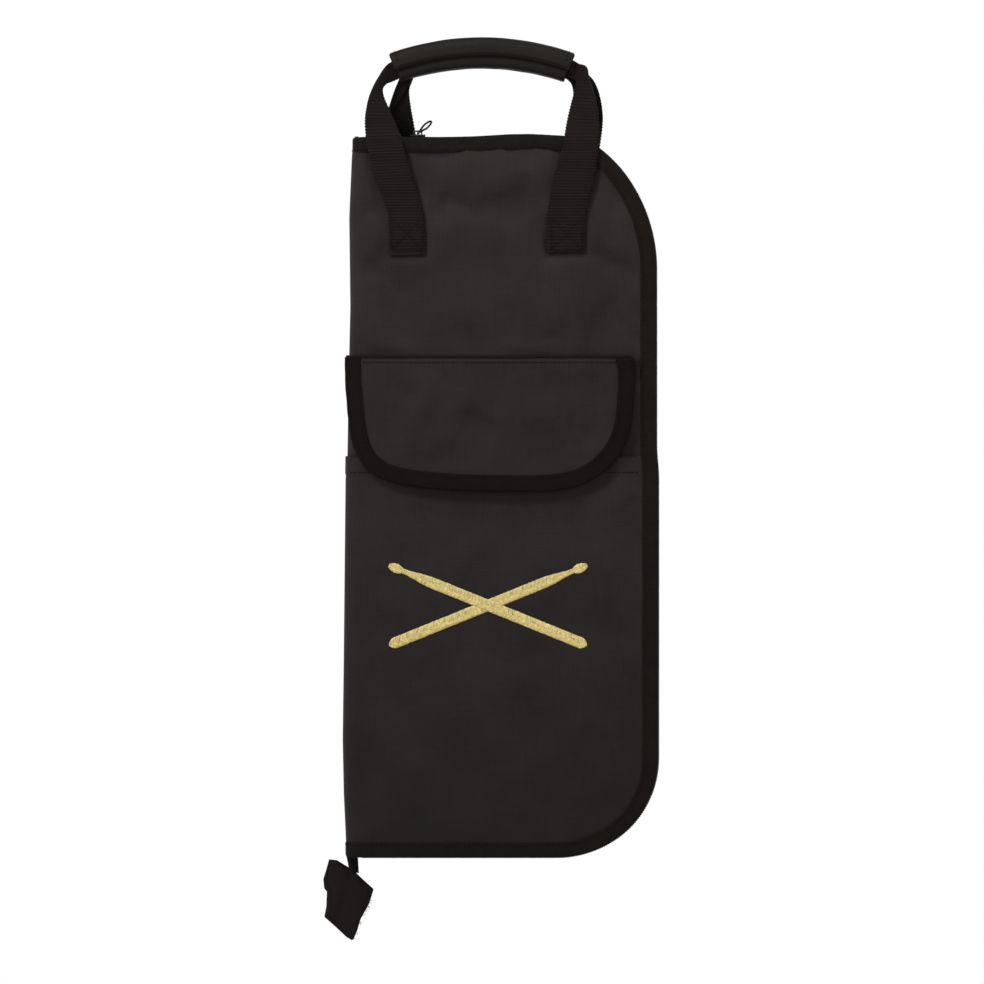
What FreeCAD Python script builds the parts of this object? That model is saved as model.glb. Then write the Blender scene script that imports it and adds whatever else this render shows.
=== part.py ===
import FreeCAD, Part
import os
import re
from math import atan2, cos, hypot, radians, sin

import Sketcher
from FreeCAD import Placement, Rotation, Vector

# Drum stick bag, closed and hanging from its two webbing handles.
# Millimetres. +Z is up, the front of the bag faces -Y, and +X is to the right as seen from the front.
# The origin is the middle of the underside of the hand grip.

DRIVING_SIZES = {
    # outline of the two covers
    "bagLeft": -90.0,
    "bagRight": 116.2,
    "bagTop": -46.8,
    "bagBottom": -528.2,
    "cornerWide": 63.0,
    "cornerTall": 88.0,
    "cornerTight": 46.0,
    "bottomRadius": 66.0,
    # layers of a cover, from outside to inside
    "fabricThick": 0.6,
    "foamThick": 2.8,
    "liningThick": 0.6,
    "interiorHalf": 10.0,
    # binding tape round the edges
    "bindThick": 0.7,
    "bindWide": 10.5,
    "cutDeep": 40.0,
    "cutPast": 20.0,
    # spine between the covers
    "spineThick": 1.2,
    "spineGap": 0.4,
    "spineHalf": 11.6,
    # zipper
    "tapeInset": 1.8,
    "tapeThick": 1.0,
    "tapeStart": 1.5,
    "coilProud": 0.8,
    "coilStart": 0.8,
    "coilWide": 2.1,
    "coilLeft": -82.8,
    "stopLong": 2.4,
    "stopNear": 0.7,
    "stopFar": 3.2,
    "stopProud": 1.0,
    "sliderX": -43.0,
    "sliderHalf": 5.0,
    "sliderDeep": 4.3,
    "sliderPlate": 1.1,
    "sliderClear": 0.35,
    "sliderPost": 0.45,
    "bridgeDeep": 1.2,
    "bridgeHalf": 3.0,
    "bridgeWall": 1.0,
    "bridgeTall": 4.1,
    "bridgeRoof": 0.9,
    "pullLong": 13.0,
    "pullInside": 1.75,
    "pullPivot": 2.5,
    "pullTilt": 42.0,
    "wireThick": 1.1,
    # webbing handles
    "webWide": 25.4,
    "webThick": 1.4,
    "strapLeft": -50.0,
    "strapRight": 56.5,
    "strapTop": -98.4,
    "strapBottom": -125.0,
    "strapGap": 0.9,
    "footZ": -97.6,
    "kneeZ": -36.0,
    "kneeWide": 22.0,
    "elbowZ": -13.0,
    "elbowIn": 5.0,
    "bendZ": -12.0,
    "viewDeep": 60.0,
    "viewWide": 260.0,
    # hand grip
    "gripZ": 10.0,
    "gripRadius": 176.0,
    "gripAngle": 39.0,
    "foldedWide": 12.7,
    "foldedThick": 2.8,
    "foldedGap": 1.2,
    "padThick": 2.8,
    "padLip": 0.85,
    "wrapClear": 0.2,
    "wingFront": 4.3,
    "innerWing": 1.9,
    "wrapStrip": 0.4,
    "upperEdge": -2.0,
    "lowerEdge": 4.0,
    # stick pocket inside the back cover
    "stickLeft": -84.0,
    "stickPitch": 42.0,
    "stickDepth": 16.0,
    "stickWall": 1.0,
    "stickSeam": 2.0,
    "stickMouth": -205.0,
    "stickBottom": -500.0,
    "stickHem": 8.0,
    "stickOpen": 5.0,
    # outer pocket and its flap
    "pocketMouth": -260.0,
    "pocketDepth": 4.6,
    "pocketWall": 1.0,
    "pocketRim": 3.0,
    "flapTop": -194.0,
    "flapY": -15.9,
    "flapLeft": -92.0,
    "flapRight": 102.5,
    "flapTall": 89.5,
    "flapRadius": 43.0,
    "flapThick": 1.2,
    "flapBind": 11.5,
    "flapTilt": 5.0,
    "stripThick": 0.6,
    "stripTall": 10.0,
    "stripLong": 80.0,
    "loopBelow": 1.0,
    "hookAbove": 1.5,
    # embroidered emblem
    "emblemX": 4.0,
    "emblemZ": -359.0,
    "emblemLong": 143.0,
    "emblemTilt": 22.0,
    "emblemThick": 0.6,
    "shaftHalf": 3.6,
    "neckHalf": 1.5,
    "tipHalf": 3.0,
    "tipLong": 11.0,
    "taperLong": 23.0,
    "buttLong": 3.0,
    # zipper end tab
    "tabThick": 3.2,
    "tabStep": 0.8,
}

STICK_POCKETS = 4

# Corners of the zipper end tab and of the tape that carries it, as (x, z).
TAB_CORNERS = (
    (-102.5, -530.6),
    (-95.5, -531.6),
    (-88.4, -535.2),
    (-84.2, -535.2),
    (-72.4, -550.0),
    (-77.0, -564.0),
    (-81.5, -570.5),
    (-86.5, -585.0),
    (-90.0, -583.5),
    (-106.0, -568.8),
    (-104.6, -551.0),
    (-106.0, -542.0),
)
NECK_CORNERS = ((-90.0, -530.6), (-81.5, -530.6), (-84.2, -535.2), (-88.4, -535.2))

# X of the middle of each leg at its knee.
REAR_KNEES = (-57.5, 69.5)
FRONT_KNEES = (-68.0, 67.5)

CLOSED = 1e-6
LEAST_VOLUME = 0.1

doc = FreeCAD.newDocument("DrumStickBag")
sheet = doc.addObject("Spreadsheet::Sheet", "Sizes")
for row, (alias, number) in enumerate(DRIVING_SIZES.items(), start=1):
    sheet.set(f"A{row}", alias)
    sheet.set(f"B{row}", str(number))
    sheet.setAlias(f"B{row}", alias)
doc.recompute()

NODES = []


def size(alias):
    """A driving dimension, read from the sheet."""
    return float(getattr(sheet, alias))


def bind(item, target, formula):
    """Bind a property to a formula of the sheet's aliases."""
    item.setExpression(target, re.sub(r"\b([a-z]+[A-Z]\w*)", r"Sizes.\1", formula))


def node(item, label):
    item.Label = label
    NODES.append(item)
    return item


# ---------------------------------------------------------------- sketches


def new_sketch(body, role, name="outline"):
    sketch = body.newObject("Sketcher::SketchObject", name)
    plane = [item for item in body.Origin.OriginFeatures if item.Role == role][0]
    sketch.AttachmentSupport = [(plane, "")]
    sketch.MapMode = "FlatFace"
    return sketch


def draw_path(sketch, start, *moves):
    """A closed outline. A move is a point for a line, or a pair of points (through, end) for an arc."""
    here = start
    count = len(moves)
    for move in moves:
        if isinstance(move[0], tuple):
            through, end = move
            arc = Part.Arc(*(Vector(*point, 0) for point in (here, through, end)))
            sketch.addGeometry(arc, False)
        else:
            end = move
            sketch.addGeometry(Part.LineSegment(Vector(*here, 0), Vector(*end, 0)), False)
        here = end
    if hypot(here[0] - start[0], here[1] - start[1]) > CLOSED:
        sketch.addGeometry(Part.LineSegment(Vector(*here, 0), Vector(*start, 0)), False)
        count += 1
    return count


def ends_of(sketch, index):
    """Sketch point numbers (first, last) of an edge, in drawing order."""
    edge = sketch.Geometry[index]
    if isinstance(edge, Part.ArcOfCircle) and edge.Circle.Axis.z < 0:
        return 2, 1
    return 1, 2


def corner_centres(inset):
    """Centres and radii of the covers' corner arcs, drawn in by an inset from the edge.

    The top corner is an oval quarter made of a tight arc and a wide one that meet in a tangent.
    """
    wide, tall, tight = size("cornerWide"), size("cornerTall"), size("cornerTight")
    broad = (wide**2 + tall**2 - 2 * tall * tight) / (2 * (wide - tight))
    oval_x = size("bagRight") - wide
    oval_z = size("bagTop") - tall
    tight_centre = (oval_x, size("bagTop") - tight)
    broad_centre = (size("bagRight") - broad, oval_z)
    low_radius = size("bottomRadius")
    low_centre = (size("bagRight") - low_radius, size("bagBottom") + low_radius)
    return (
        (tight_centre, tight - inset),
        (broad_centre, broad - inset),
        (low_centre, low_radius - inset),
    )


def on_circle(circle, angle):
    (x, z), radius = circle
    return x + radius * cos(angle), z + radius * sin(angle)


def cover_outline(sketch, inset, left):
    """The covers' outline: square at the spine, round at the two free corners."""
    tight, broad, low = corner_centres(inset)
    turn = atan2(tight[0][1] - broad[0][1], tight[0][0] - broad[0][0])
    quarter = radians(90)
    top = size("bagTop") - inset
    bottom = size("bagBottom") + inset
    draw_path(
        sketch,
        (left, bottom),
        (left, top),
        on_circle(tight, quarter),
        (on_circle(tight, (quarter + turn) / 2), on_circle(tight, turn)),
        (on_circle(broad, turn / 2), on_circle(broad, 0)),
        on_circle(low, 0),
        (on_circle(low, -quarter / 2), on_circle(low, -quarter)),
    )
    edges = 7
    for index in range(edges):
        after = (index + 1) % edges
        first, second = ends_of(sketch, index)[1], ends_of(sketch, after)[0]
        joint = "Coincident" if index in (0, 6) else "Tangent"
        sketch.addConstraint(Sketcher.Constraint(joint, index, first, after, second))
    for index, kind in ((0, "Vertical"), (1, "Horizontal"), (6, "Horizontal")):
        sketch.addConstraint(Sketcher.Constraint(kind, index))
    for kind, index, point, start, formula in (
        ("DistanceX", 1, 1, left, None),
        ("DistanceY", 1, 1, top, f"bagTop - {inset}"),
        ("DistanceY", 6, 1, bottom, f"bagBottom + {inset}"),
        ("DistanceX", 4, 1, size("bagRight") - inset, f"bagRight - {inset}"),
        ("DistanceX", 2, 3, tight[0][0], "bagRight - cornerWide"),
        ("DistanceY", 3, 3, broad[0][1], "bagTop - cornerTall"),
    ):
        number = sketch.addConstraint(Sketcher.Constraint(kind, -1, 1, index, point, start))
        if formula:
            bind(sketch, f"Constraints[{number}]", formula)
    for index, radius, formula in (
        (2, tight[1], f"cornerTight - {inset}"),
        (5, low[1], f"bottomRadius - {inset}"),
    ):
        number = sketch.addConstraint(Sketcher.Constraint("Radius", index, radius))
        bind(sketch, f"Constraints[{number}]", formula)


# ---------------------------------------------------------------- solids


def padded(name, thick, draw, role="XZ_Plane", at=None):
    """A body: one sketch, padded evenly to both sides of its plane. at binds the body's place."""
    body = doc.addObject("PartDesign::Body", name)
    body.AllowCompound = True
    sketch = new_sketch(body, role)
    draw(sketch)
    pad = body.newObject("PartDesign::Pad", "pad")
    pad.Profile = sketch
    pad.SideType = "Symmetric"
    bind(pad, "Length", thick)
    for axis, formula in (at or {}).items():
        bind(body, f"Placement.Base.{axis}", formula)
    body.Tip = pad
    return body


def cut_band(body, depth, draw):
    """Cut a sketched region out of a padded body, evenly to both sides of its plane."""
    sketch = new_sketch(body, "XZ_Plane", "cut_outline")
    draw(sketch)
    pocket = body.newObject("PartDesign::Pocket", "cut")
    pocket.Profile = sketch
    pocket.SideType = "Symmetric"
    bind(pocket, "Length", depth)
    body.Tip = pocket
    return body


def box(name, x, y, z):
    """A box from (low, high) formulas along each axis."""
    item = doc.addObject("Part::Box", name)
    for axis, prop, (low, high) in (("x", "Length", x), ("y", "Width", y), ("z", "Height", z)):
        bind(item, prop, f"({high}) - ({low})")
        bind(item, f"Placement.Base.{axis}", low)
    return item


def boolean(kind, name, first, second):
    item = doc.addObject(f"Part::{kind}", name)
    item.Base = first
    item.Tool = second
    return item


def fused(name, items):
    item = doc.addObject("Part::MultiFuse", name)
    item.Shapes = items
    return item


# ---------------------------------------------------------------- covers


def cover_edge():
    """X of the covers' edge beside the spine."""
    return size("bagLeft") + size("spineThick") + size("spineGap")


def side_y(sign, formula):
    return f"({formula})" if sign > 0 else f"-({formula})"


def make_cover(side, sign):
    """Outer fabric, foam and lining, with binding tape round the three free edges."""
    left = cover_edge()
    thickness = "fabricThick + foamThick + liningThick"
    middle = side_y(sign, f"interiorHalf + ({thickness}) / 2")
    layers = (
        ("fabric", "fabricThick", "interiorHalf + liningThick + foamThick + fabricThick / 2"),
        ("foam", "foamThick", "interiorHalf + liningThick + foamThick / 2"),
        ("lining", "liningThick", "interiorHalf + liningThick / 2"),
    )
    for layer, thick, distance in layers:
        name = f"{side}_cover_{layer}"
        place = {"y": side_y(sign, distance)}
        node(padded(name, thick, lambda s: cover_outline(s, size("bindThick"), left), at=place), name)

    name = f"{side}_cover_binding"
    past_left = left - size("bindWide")
    wrapped = f"{thickness} + 2 * bindThick"
    tape = padded(name, wrapped, lambda s: cover_outline(s, 0, left), at={"y": middle})
    cut_band(tape, "cutDeep", lambda s: cover_outline(s, size("bindWide"), past_left))
    cut_band(tape, thickness, lambda s: cover_outline(s, size("bindThick"), past_left))
    node(tape, name)


def make_zipper_half(side, sign):
    """Tape that stands on the cover's edge, the coil on it, and the stop at its top end."""
    binding_face = "interiorHalf - bindThick"
    inner = size("tapeInset") + size("tapeThick")
    left = cover_edge()
    name = f"{side}_zipper_tape"
    wall = padded(
        name,
        f"{binding_face} - tapeStart",
        lambda s: cover_outline(s, size("tapeInset"), left),
        at={"y": side_y(sign, f"({binding_face} + tapeStart) / 2")},
    )
    cut_band(wall, "cutDeep", lambda s: cover_outline(s, inner, left - size("cutPast")))
    node(wall, name)

    name = f"{side}_zipper_coil"
    coil_y = side_y(sign, "coilStart + coilWide / 2")
    start = size("coilLeft")
    coil = padded(name, "coilWide", lambda s: cover_outline(s, -size("coilProud"), start), at={"y": coil_y})
    cut_band(coil, "cutDeep", lambda s: cover_outline(s, size("tapeInset"), start - size("cutPast")))
    node(coil, name)

    near, far = side_y(sign, "stopNear"), side_y(sign, "stopFar")
    across = (near, far) if sign > 0 else (far, near)
    along = ("coilLeft - stopLong", "coilLeft")
    name = f"{side}_zipper_stop"
    node(box(name, along, across, ("bagTop - tapeInset", "bagTop + stopProud")), name)


def make_spine():
    for name, low, high in (
        ("spine_fabric", "bagLeft", "bagLeft + spineThick / 2"),
        ("spine_lining", "bagLeft + spineThick / 2", "bagLeft + spineThick"),
    ):
        node(box(name, (low, high), ("-spineHalf", "spineHalf"), ("bagBottom", "bagTop")), name)


# ---------------------------------------------------------------- inner stick pocket


def sleeve_hollows(sketch, depth):
    """The rounded spaces inside the sleeves, each closed by the lining."""
    base = size("interiorHalf")
    aside = size("stickSeam") / 2 + size("stickWall")
    for number in range(STICK_POCKETS):
        low = size("stickLeft") + number * size("stickPitch") + aside
        high = low + size("stickPitch") - 2 * aside
        draw_path(sketch, (high, base), (low, base), (((low + high) / 2, base - depth), (high, base)))


def sleeve_outside(sketch, depth):
    """The panel's outer face: one bulge for each sleeve, with a flat sewn seam between them."""
    base = size("interiorHalf")
    seam_face = base - size("stickWall")
    seam = size("stickSeam") / 2
    low = size("stickLeft")
    moves = [(low, seam_face)]
    for number in range(STICK_POCKETS):
        high = low + size("stickPitch")
        moves += [(low + seam, seam_face), (((low + high) / 2, base - depth), (high - seam, seam_face))]
        low = high
    moves += [(low, seam_face), (low, base)]
    draw_path(sketch, (size("stickLeft"), base), *moves)


def sleeves(name, draw, depth, low, high):
    at = {"z": f"(({low}) + ({high})) / 2"}
    return padded(name, f"({high}) - ({low})", lambda sketch: draw(sketch, depth), "XY_Plane", at)


def make_stick_pocket():
    depth = size("stickDepth")
    clear = depth - size("stickWall")
    hem = "stickMouth - stickHem"
    above = "stickMouth + stickOpen"
    outside = sleeves("stick_sleeves_outside", sleeve_outside, depth, "stickBottom", hem)
    inside = sleeves("stick_sleeves_inside", sleeve_hollows, clear, "stickBottom + stickWall", above)
    node(boolean("Cut", "stick_pocket_panel", outside, inside), "stick_pocket_panel")
    outside = sleeves("stick_hem_outside", sleeve_outside, depth + size("bindThick"), hem, "stickMouth")
    inside = sleeves("stick_hem_inside", sleeve_hollows, clear, "stickBottom", above)
    node(boolean("Cut", "stick_pocket_binding", outside, inside), "stick_pocket_binding")


# ---------------------------------------------------------------- outer pocket and flap


def pocket_outline(sketch, rim, above):
    """The outer pocket: full width inside the binding, with the bag's own lower corner."""
    inset = size("bindWide") + rim
    low = corner_centres(inset)[2]
    top = size("pocketMouth") + above
    quarter = radians(90)
    draw_path(
        sketch,
        (cover_edge() + rim, top),
        (size("bagRight") - inset, top),
        on_circle(low, 0),
        (on_circle(low, -quarter / 2), on_circle(low, -quarter)),
        (cover_edge() + rim, size("bagBottom") + inset),
    )


def make_outer_pocket():
    face = "interiorHalf + fabricThick + foamThick + liningThick"
    shell = padded(
        "outer_pocket_block",
        "pocketDepth + pocketWall",
        lambda s: pocket_outline(s, 0, 0),
        at={"y": f"-({face} + (pocketDepth + pocketWall) / 2)"},
    )
    hollow = padded(
        "outer_pocket_hollow",
        "pocketDepth",
        lambda s: pocket_outline(s, size("pocketRim"), size("cutPast")),
        at={"y": f"-({face} + pocketDepth / 2)"},
    )
    node(boolean("Cut", "outer_pocket_panel", shell, hollow), "outer_pocket_panel")
    outside = f"-({face} + pocketDepth + pocketWall)"
    strip = box(
        "pocket_loop_strip",
        ("emblemX - stripLong / 2", "emblemX + stripLong / 2"),
        (f"{outside} - stripThick", outside),
        ("pocketMouth - loopBelow - stripTall", "pocketMouth - loopBelow"),
    )
    node(strip, "pocket_loop_strip")


def flap_outline(sketch, inset, above):
    """The flap in its own plane, with its top seam at height 0."""
    left = size("flapLeft") + inset
    right = size("flapRight") - inset
    bottom = -size("flapTall") + inset
    radius = size("flapRadius") - inset
    slant = radius * (1 - cos(radians(45)))
    draw_path(
        sketch,
        (left, above),
        (right, above),
        (right, bottom + radius),
        ((right - slant, bottom + slant), (right - radius, bottom)),
        (left + radius, bottom),
        ((left + slant, bottom + slant), (left, bottom + radius)),
    )


def flap_plane():
    """The flap's own plane: it hangs from its seam and leans out over the pocket."""
    seam = Vector(0, size("flapY"), size("flapTop"))
    return Placement(seam, Rotation(Vector(1, 0, 0), -size("flapTilt")))


def make_flap():
    fabric = padded("flap_fabric", "flapThick", lambda s: flap_outline(s, size("bindThick"), 0))
    fabric.Placement = flap_plane()
    node(fabric, "flap_fabric")
    binding = padded("flap_binding", "flapThick + 2 * bindThick", lambda s: flap_outline(s, 0, 0))
    above = size("cutPast")
    cut_band(binding, "cutDeep", lambda s: flap_outline(s, size("flapBind"), above))
    cut_band(binding, "flapThick", lambda s: flap_outline(s, size("bindThick"), above))
    binding.Placement = flap_plane()
    node(binding, "flap_binding")
    strip = doc.addObject("Part::Box", "flap_hook_strip")
    bind(strip, "Length", "stripLong")
    bind(strip, "Width", "stripThick")
    bind(strip, "Height", "stripTall")
    low = -size("flapTall") + size("flapBind") + size("hookAbove")
    corner = Vector(size("emblemX") - size("stripLong") / 2, size("flapThick") / 2, low)
    strip.Placement = flap_plane().multiply(Placement(corner, Rotation()))
    node(strip, "flap_hook_strip")


# ---------------------------------------------------------------- embroidered emblem


def stick_outline(sketch):
    """One drum stick lying along X: a butt, a long shaft, a taper to the neck and an oval tip."""
    half = size("emblemLong") / 2
    shaft, neck, tip = size("shaftHalf"), size("neckHalf"), size("tipHalf")
    tip_start = half - size("tipLong")
    tip_middle = half - size("tipLong") / 2
    shoulder = tip_start - size("taperLong")
    butt = -half + size("buttLong")
    draw_path(
        sketch,
        (butt, -shaft),
        (shoulder, -shaft),
        (tip_start, -neck),
        ((tip_middle, -tip), (half, 0)),
        ((tip_middle, tip), (tip_start, neck)),
        (shoulder, shaft),
        (butt, shaft),
        ((-half, 0), (butt, -shaft)),
    )


def make_emblem():
    face = "interiorHalf + fabricThick + foamThick + liningThick + pocketDepth + pocketWall"
    sticks = []
    for name, turn in (("stick_rising", 0), ("stick_falling", 180)):
        body = padded(name, "emblemThick", stick_outline)
        tilt = -size("emblemTilt") if turn == 0 else 180 + size("emblemTilt")
        body.Placement = Placement(Vector(0, 0, 0), Rotation(Vector(0, 1, 0), tilt))
        for axis, formula in (("x", "emblemX"), ("y", f"-({face} + emblemThick / 2)"), ("z", "emblemZ")):
            bind(body, f"Placement.Base.{axis}", formula)
        sticks.append(body)
    node(fused("emblem_embroidery", sticks), "emblem_embroidery")


# ---------------------------------------------------------------- handles


def grip_point(radial, angle):
    """A point on the grip's arch, from its distance off the middle line and its angle from the top."""
    reach = size("gripRadius") + radial
    return reach * sin(angle), size("gripZ") - size("gripRadius") + reach * cos(angle)


def loop_outline(sketch, knees):
    """A handle seen from the front: two wide legs that narrow into the folded stretch in the grip."""
    past_grip = 0.8
    half = size("foldedWide") / 2
    elbow, elbow_z = size("elbowIn"), size("elbowZ")
    end = radians(size("gripAngle") / 2 + past_grip)
    foot, knee = size("footZ"), size("kneeZ")
    wide = size("webWide") / 2
    slim = size("kneeWide") / 2
    left, right = knees
    below = grip_point(-size("foldedWide") * 0.85, -end)
    draw_path(
        sketch,
        (size("strapLeft") - wide, foot),
        (left - slim, knee),
        ((left - slim + elbow, elbow_z), grip_point(half, -end)),
        (grip_point(half, 0), grip_point(half, end)),
        ((right + slim - elbow, elbow_z), (right + slim, knee)),
        (size("strapRight") + wide, foot),
        (size("strapRight") - wide, foot),
        (right - slim, knee),
        (-below[0], below[1]),
        grip_point(-half, end),
        (grip_point(-half, 0), grip_point(-half, -end)),
        below,
        (left + slim, knee),
        (size("strapLeft") + wide, foot),
    )


def loop_profile(sketch, sign):
    """A handle seen from the side: flat against the cover, then leaning in to the grip."""
    cover = size("fabricThick") + size("foamThick") + size("liningThick")
    near = size("interiorHalf") + cover + size("strapGap")
    far = near + size("webThick")
    inner = size("foldedGap")
    outer = inner + size("foldedThick")
    edge = size("bagTop") + size("stripThick") + size("strapGap")
    top = size("gripZ") + size("foldedWide")
    bend = size("bendZ")
    points = [
        (near, size("footZ")),
        (near, edge),
        (inner, bend),
        (inner, top),
        (outer, top),
        (outer, bend),
        (far, edge + size("webThick")),
        (far, size("footZ")),
    ]
    draw_path(sketch, *[(sign * y, z) for y, z in points])


def make_handle(side, sign, knees):
    front_view = padded(f"{side}_loop_front_view", "viewDeep", lambda s: loop_outline(s, knees))
    side_view = padded(f"{side}_loop_side_view", "viewWide", lambda s: loop_profile(s, sign), "YZ_Plane")
    name = f"{side}_handle_webbing"
    node(boolean("Common", name, front_view, side_view), name)

    face = "interiorHalf + fabricThick + foamThick + liningThick"
    ends = []
    near, far = side_y(sign, face), side_y(sign, f"{face} + webThick")
    depth = (near, far) if sign > 0 else (far, near)
    for place in ("strapLeft", "strapRight"):
        across = (f"{place} - webWide / 2", f"{place} + webWide / 2")
        ends.append(box(f"{side}_{place}_end", across, depth, ("strapBottom", "strapTop")))
    name = f"{side}_handle_ends"
    item = doc.addObject("Part::Compound", name)
    item.Links = ends
    node(item, name)


def revolved(name, draw):
    """A grip piece: its section in the plane across the grip, turned along the arch."""
    body = doc.addObject("PartDesign::Body", name)
    sketch = new_sketch(body, "YZ_Plane")
    draw(sketch)
    turn = body.newObject("PartDesign::Revolution", "turn")
    turn.Profile = sketch
    turn.ReferenceAxis = (sketch, ["H_Axis"])
    turn.Midplane = True
    bind(turn, "Angle", "gripAngle")
    body.Tip = turn
    bind(body, "Placement.Base.z", "gripZ - gripRadius")
    return node(body, name)


def make_grip_wrap():
    """A padded sleeve: its back is sewn to the rear handle, and two wings close round both handles."""
    middle = size("gripRadius")
    pad = size("padThick")
    clear = size("wrapClear")
    lip = size("foldedWide") / 2 + size("padLip")
    outer = lip + pad
    back = size("foldedGap") + size("foldedThick") + clear
    behind = back + pad
    front = size("wingFront")
    inner_wing = size("innerWing")
    strip = size("wrapStrip")
    over = front + inner_wing + 2 * strip + clear
    face = over + pad - 2 * clear
    upper_edge = size("upperEdge")
    lower_edge = size("lowerEdge")
    strip_inset = 0.5

    def section(*points):
        return lambda sketch: draw_path(sketch, *[(y, middle + radial) for y, radial in points])

    def slab(y_low, y_high, low, high):
        return section((y_low, low), (y_high, low), (y_high, high), (y_low, high))

    revolved("wrap_back", slab(back, behind, clear - lip, lip - clear))
    revolved(
        "wrap_upper_wing",
        section(
            (behind, lip),
            (behind, outer),
            (-face, outer),
            (-face, upper_edge),
            (-over, upper_edge),
            (-over, lip),
        ),
    )
    revolved(
        "wrap_lower_wing",
        section(
            (behind, -lip),
            (-front, -lip),
            (-front, lower_edge),
            (-front - inner_wing, lower_edge),
            (-front - inner_wing, -outer),
            (behind, -outer),
        ),
    )
    low, high = upper_edge + strip_inset, lower_edge - strip_inset
    revolved("wrap_hook_strip", slab(-over, -over + strip, low, high))
    loop_face = -front - inner_wing
    revolved("wrap_loop_strip", slab(loop_face - strip, loop_face, low, high))


# ---------------------------------------------------------------- zipper slider, pull and end tab


def make_slider():
    """Two plates over and under the chain, a post between its halves, a back lip and a bridge."""
    over = "bagTop + coilProud + sliderClear"
    under = "bagTop - tapeInset - tapeThick - sliderClear"
    roof = f"{over} + bridgeTall"
    length = ("sliderX - sliderHalf", "sliderX + sliderHalf")
    width = ("-sliderDeep", "sliderDeep")
    post = ("sliderX - sliderHalf", "sliderX - bridgeWall")
    lip = ("sliderDeep - bridgeRoof", "sliderDeep")
    across = ("-bridgeDeep", "bridgeDeep")
    left_wall = ("sliderX - bridgeHalf", "sliderX - bridgeHalf + bridgeWall")
    right_wall = ("sliderX + bridgeHalf - bridgeWall", "sliderX + bridgeHalf")
    parts = [
        box("slider_top_plate", length, width, (over, f"{over} + sliderPlate")),
        box("slider_bottom_plate", length, width, (f"{under} - sliderPlate", under)),
        box("slider_post", post, ("-sliderPost", "sliderPost"), (under, over)),
        box("slider_back_lip", length, lip, ("bagTop - tapeInset + sliderClear", over)),
        box("slider_bridge_left", left_wall, across, (over, roof)),
        box("slider_bridge_right", right_wall, across, (over, roof)),
        box("slider_bridge_roof", (left_wall[0], right_wall[1]), across, (f"{roof} - bridgeRoof", roof)),
    ]
    node(fused("zipper_slider", parts), "zipper_slider")


def ring_outline(sketch, inset):
    """A long ring lying along X, whose near bar runs under the slider's bridge."""
    wire = size("wireThick")
    radius = size("pullInside") + wire - inset
    start = -wire / 2 + inset
    finish = size("pullLong") - radius - inset
    draw_path(
        sketch,
        (finish, -radius),
        ((finish + radius, 0), (finish, radius)),
        (start, radius),
        (start, -radius),
    )


def make_pull():
    """The wire ring leans up to the right from the slider's bridge."""
    body = padded("zipper_pull", "wireThick", lambda s: ring_outline(s, 0), "XY_Plane")
    sketch = new_sketch(body, "XY_Plane", "inside")
    ring_outline(sketch, size("wireThick"))
    hole = body.newObject("PartDesign::Pocket", "hole")
    hole.Profile = sketch
    hole.SideType = "Symmetric"
    bind(hole, "Length", "cutDeep")
    body.Tip = hole
    pivot = Vector(size("sliderX"), 0, size("bagTop") + size("coilProud") + size("pullPivot"))
    body.Placement = Placement(pivot, Rotation(Vector(0, 1, 0), -size("pullTilt")))
    node(body, "zipper_pull")


def make_tail():
    """The crooked fabric tab, folded over the zipper's ends and sewn shut, on its short neck of tape."""
    neck = padded("tail_tape_neck", "tabThick - tabStep", lambda s: draw_path(s, *NECK_CORNERS))
    node(neck, "tail_tape_neck")
    tab = padded("tail_fabric_tab", "tabThick", lambda s: draw_path(s, *TAB_CORNERS))
    node(tab, "tail_fabric_tab")


# ---------------------------------------------------------------- the whole bag

for side, sign in (("back", 1), ("front", -1)):
    make_cover(side, sign)
    make_zipper_half(side, sign)
make_spine()
make_stick_pocket()
make_outer_pocket()
make_flap()
make_emblem()
make_handle("rear", 1, REAR_KNEES)
make_handle("front", -1, FRONT_KNEES)
make_grip_wrap()
make_slider()
make_pull()
make_tail()
doc.recompute()

for item in doc.Objects:
    if "Invalid" in item.State or "Error" in item.State:
        raise RuntimeError(f"{item.Label} failed: {item.State}")
for item in NODES:
    shape = item.Shape
    if shape.isNull() or not shape.isValid() or shape.Volume < LEAST_VOLUME or not shape.Solids:
        raise RuntimeError(f"{item.Label} is not a good solid")

os.makedirs("parts", exist_ok=True)
for item in NODES:
    item.Shape.exportStep(f"parts/{item.Label}.step")
    bounds = item.Shape.BoundBox
    across = f"x {bounds.XMin:7.1f} {bounds.XMax:7.1f}  y {bounds.YMin:6.1f} {bounds.YMax:6.1f}"
    tall = f"z {bounds.ZMin:7.1f} {bounds.ZMax:7.1f}"
    print(f"{item.Label:22s} {across}  {tall}  volume {item.Shape.Volume:9.1f}")
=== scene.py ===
import random
from math import atan2, cos, pi, radians, sin, sqrt

import bmesh
import bpy
import numpy as np
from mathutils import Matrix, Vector, noise


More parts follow.
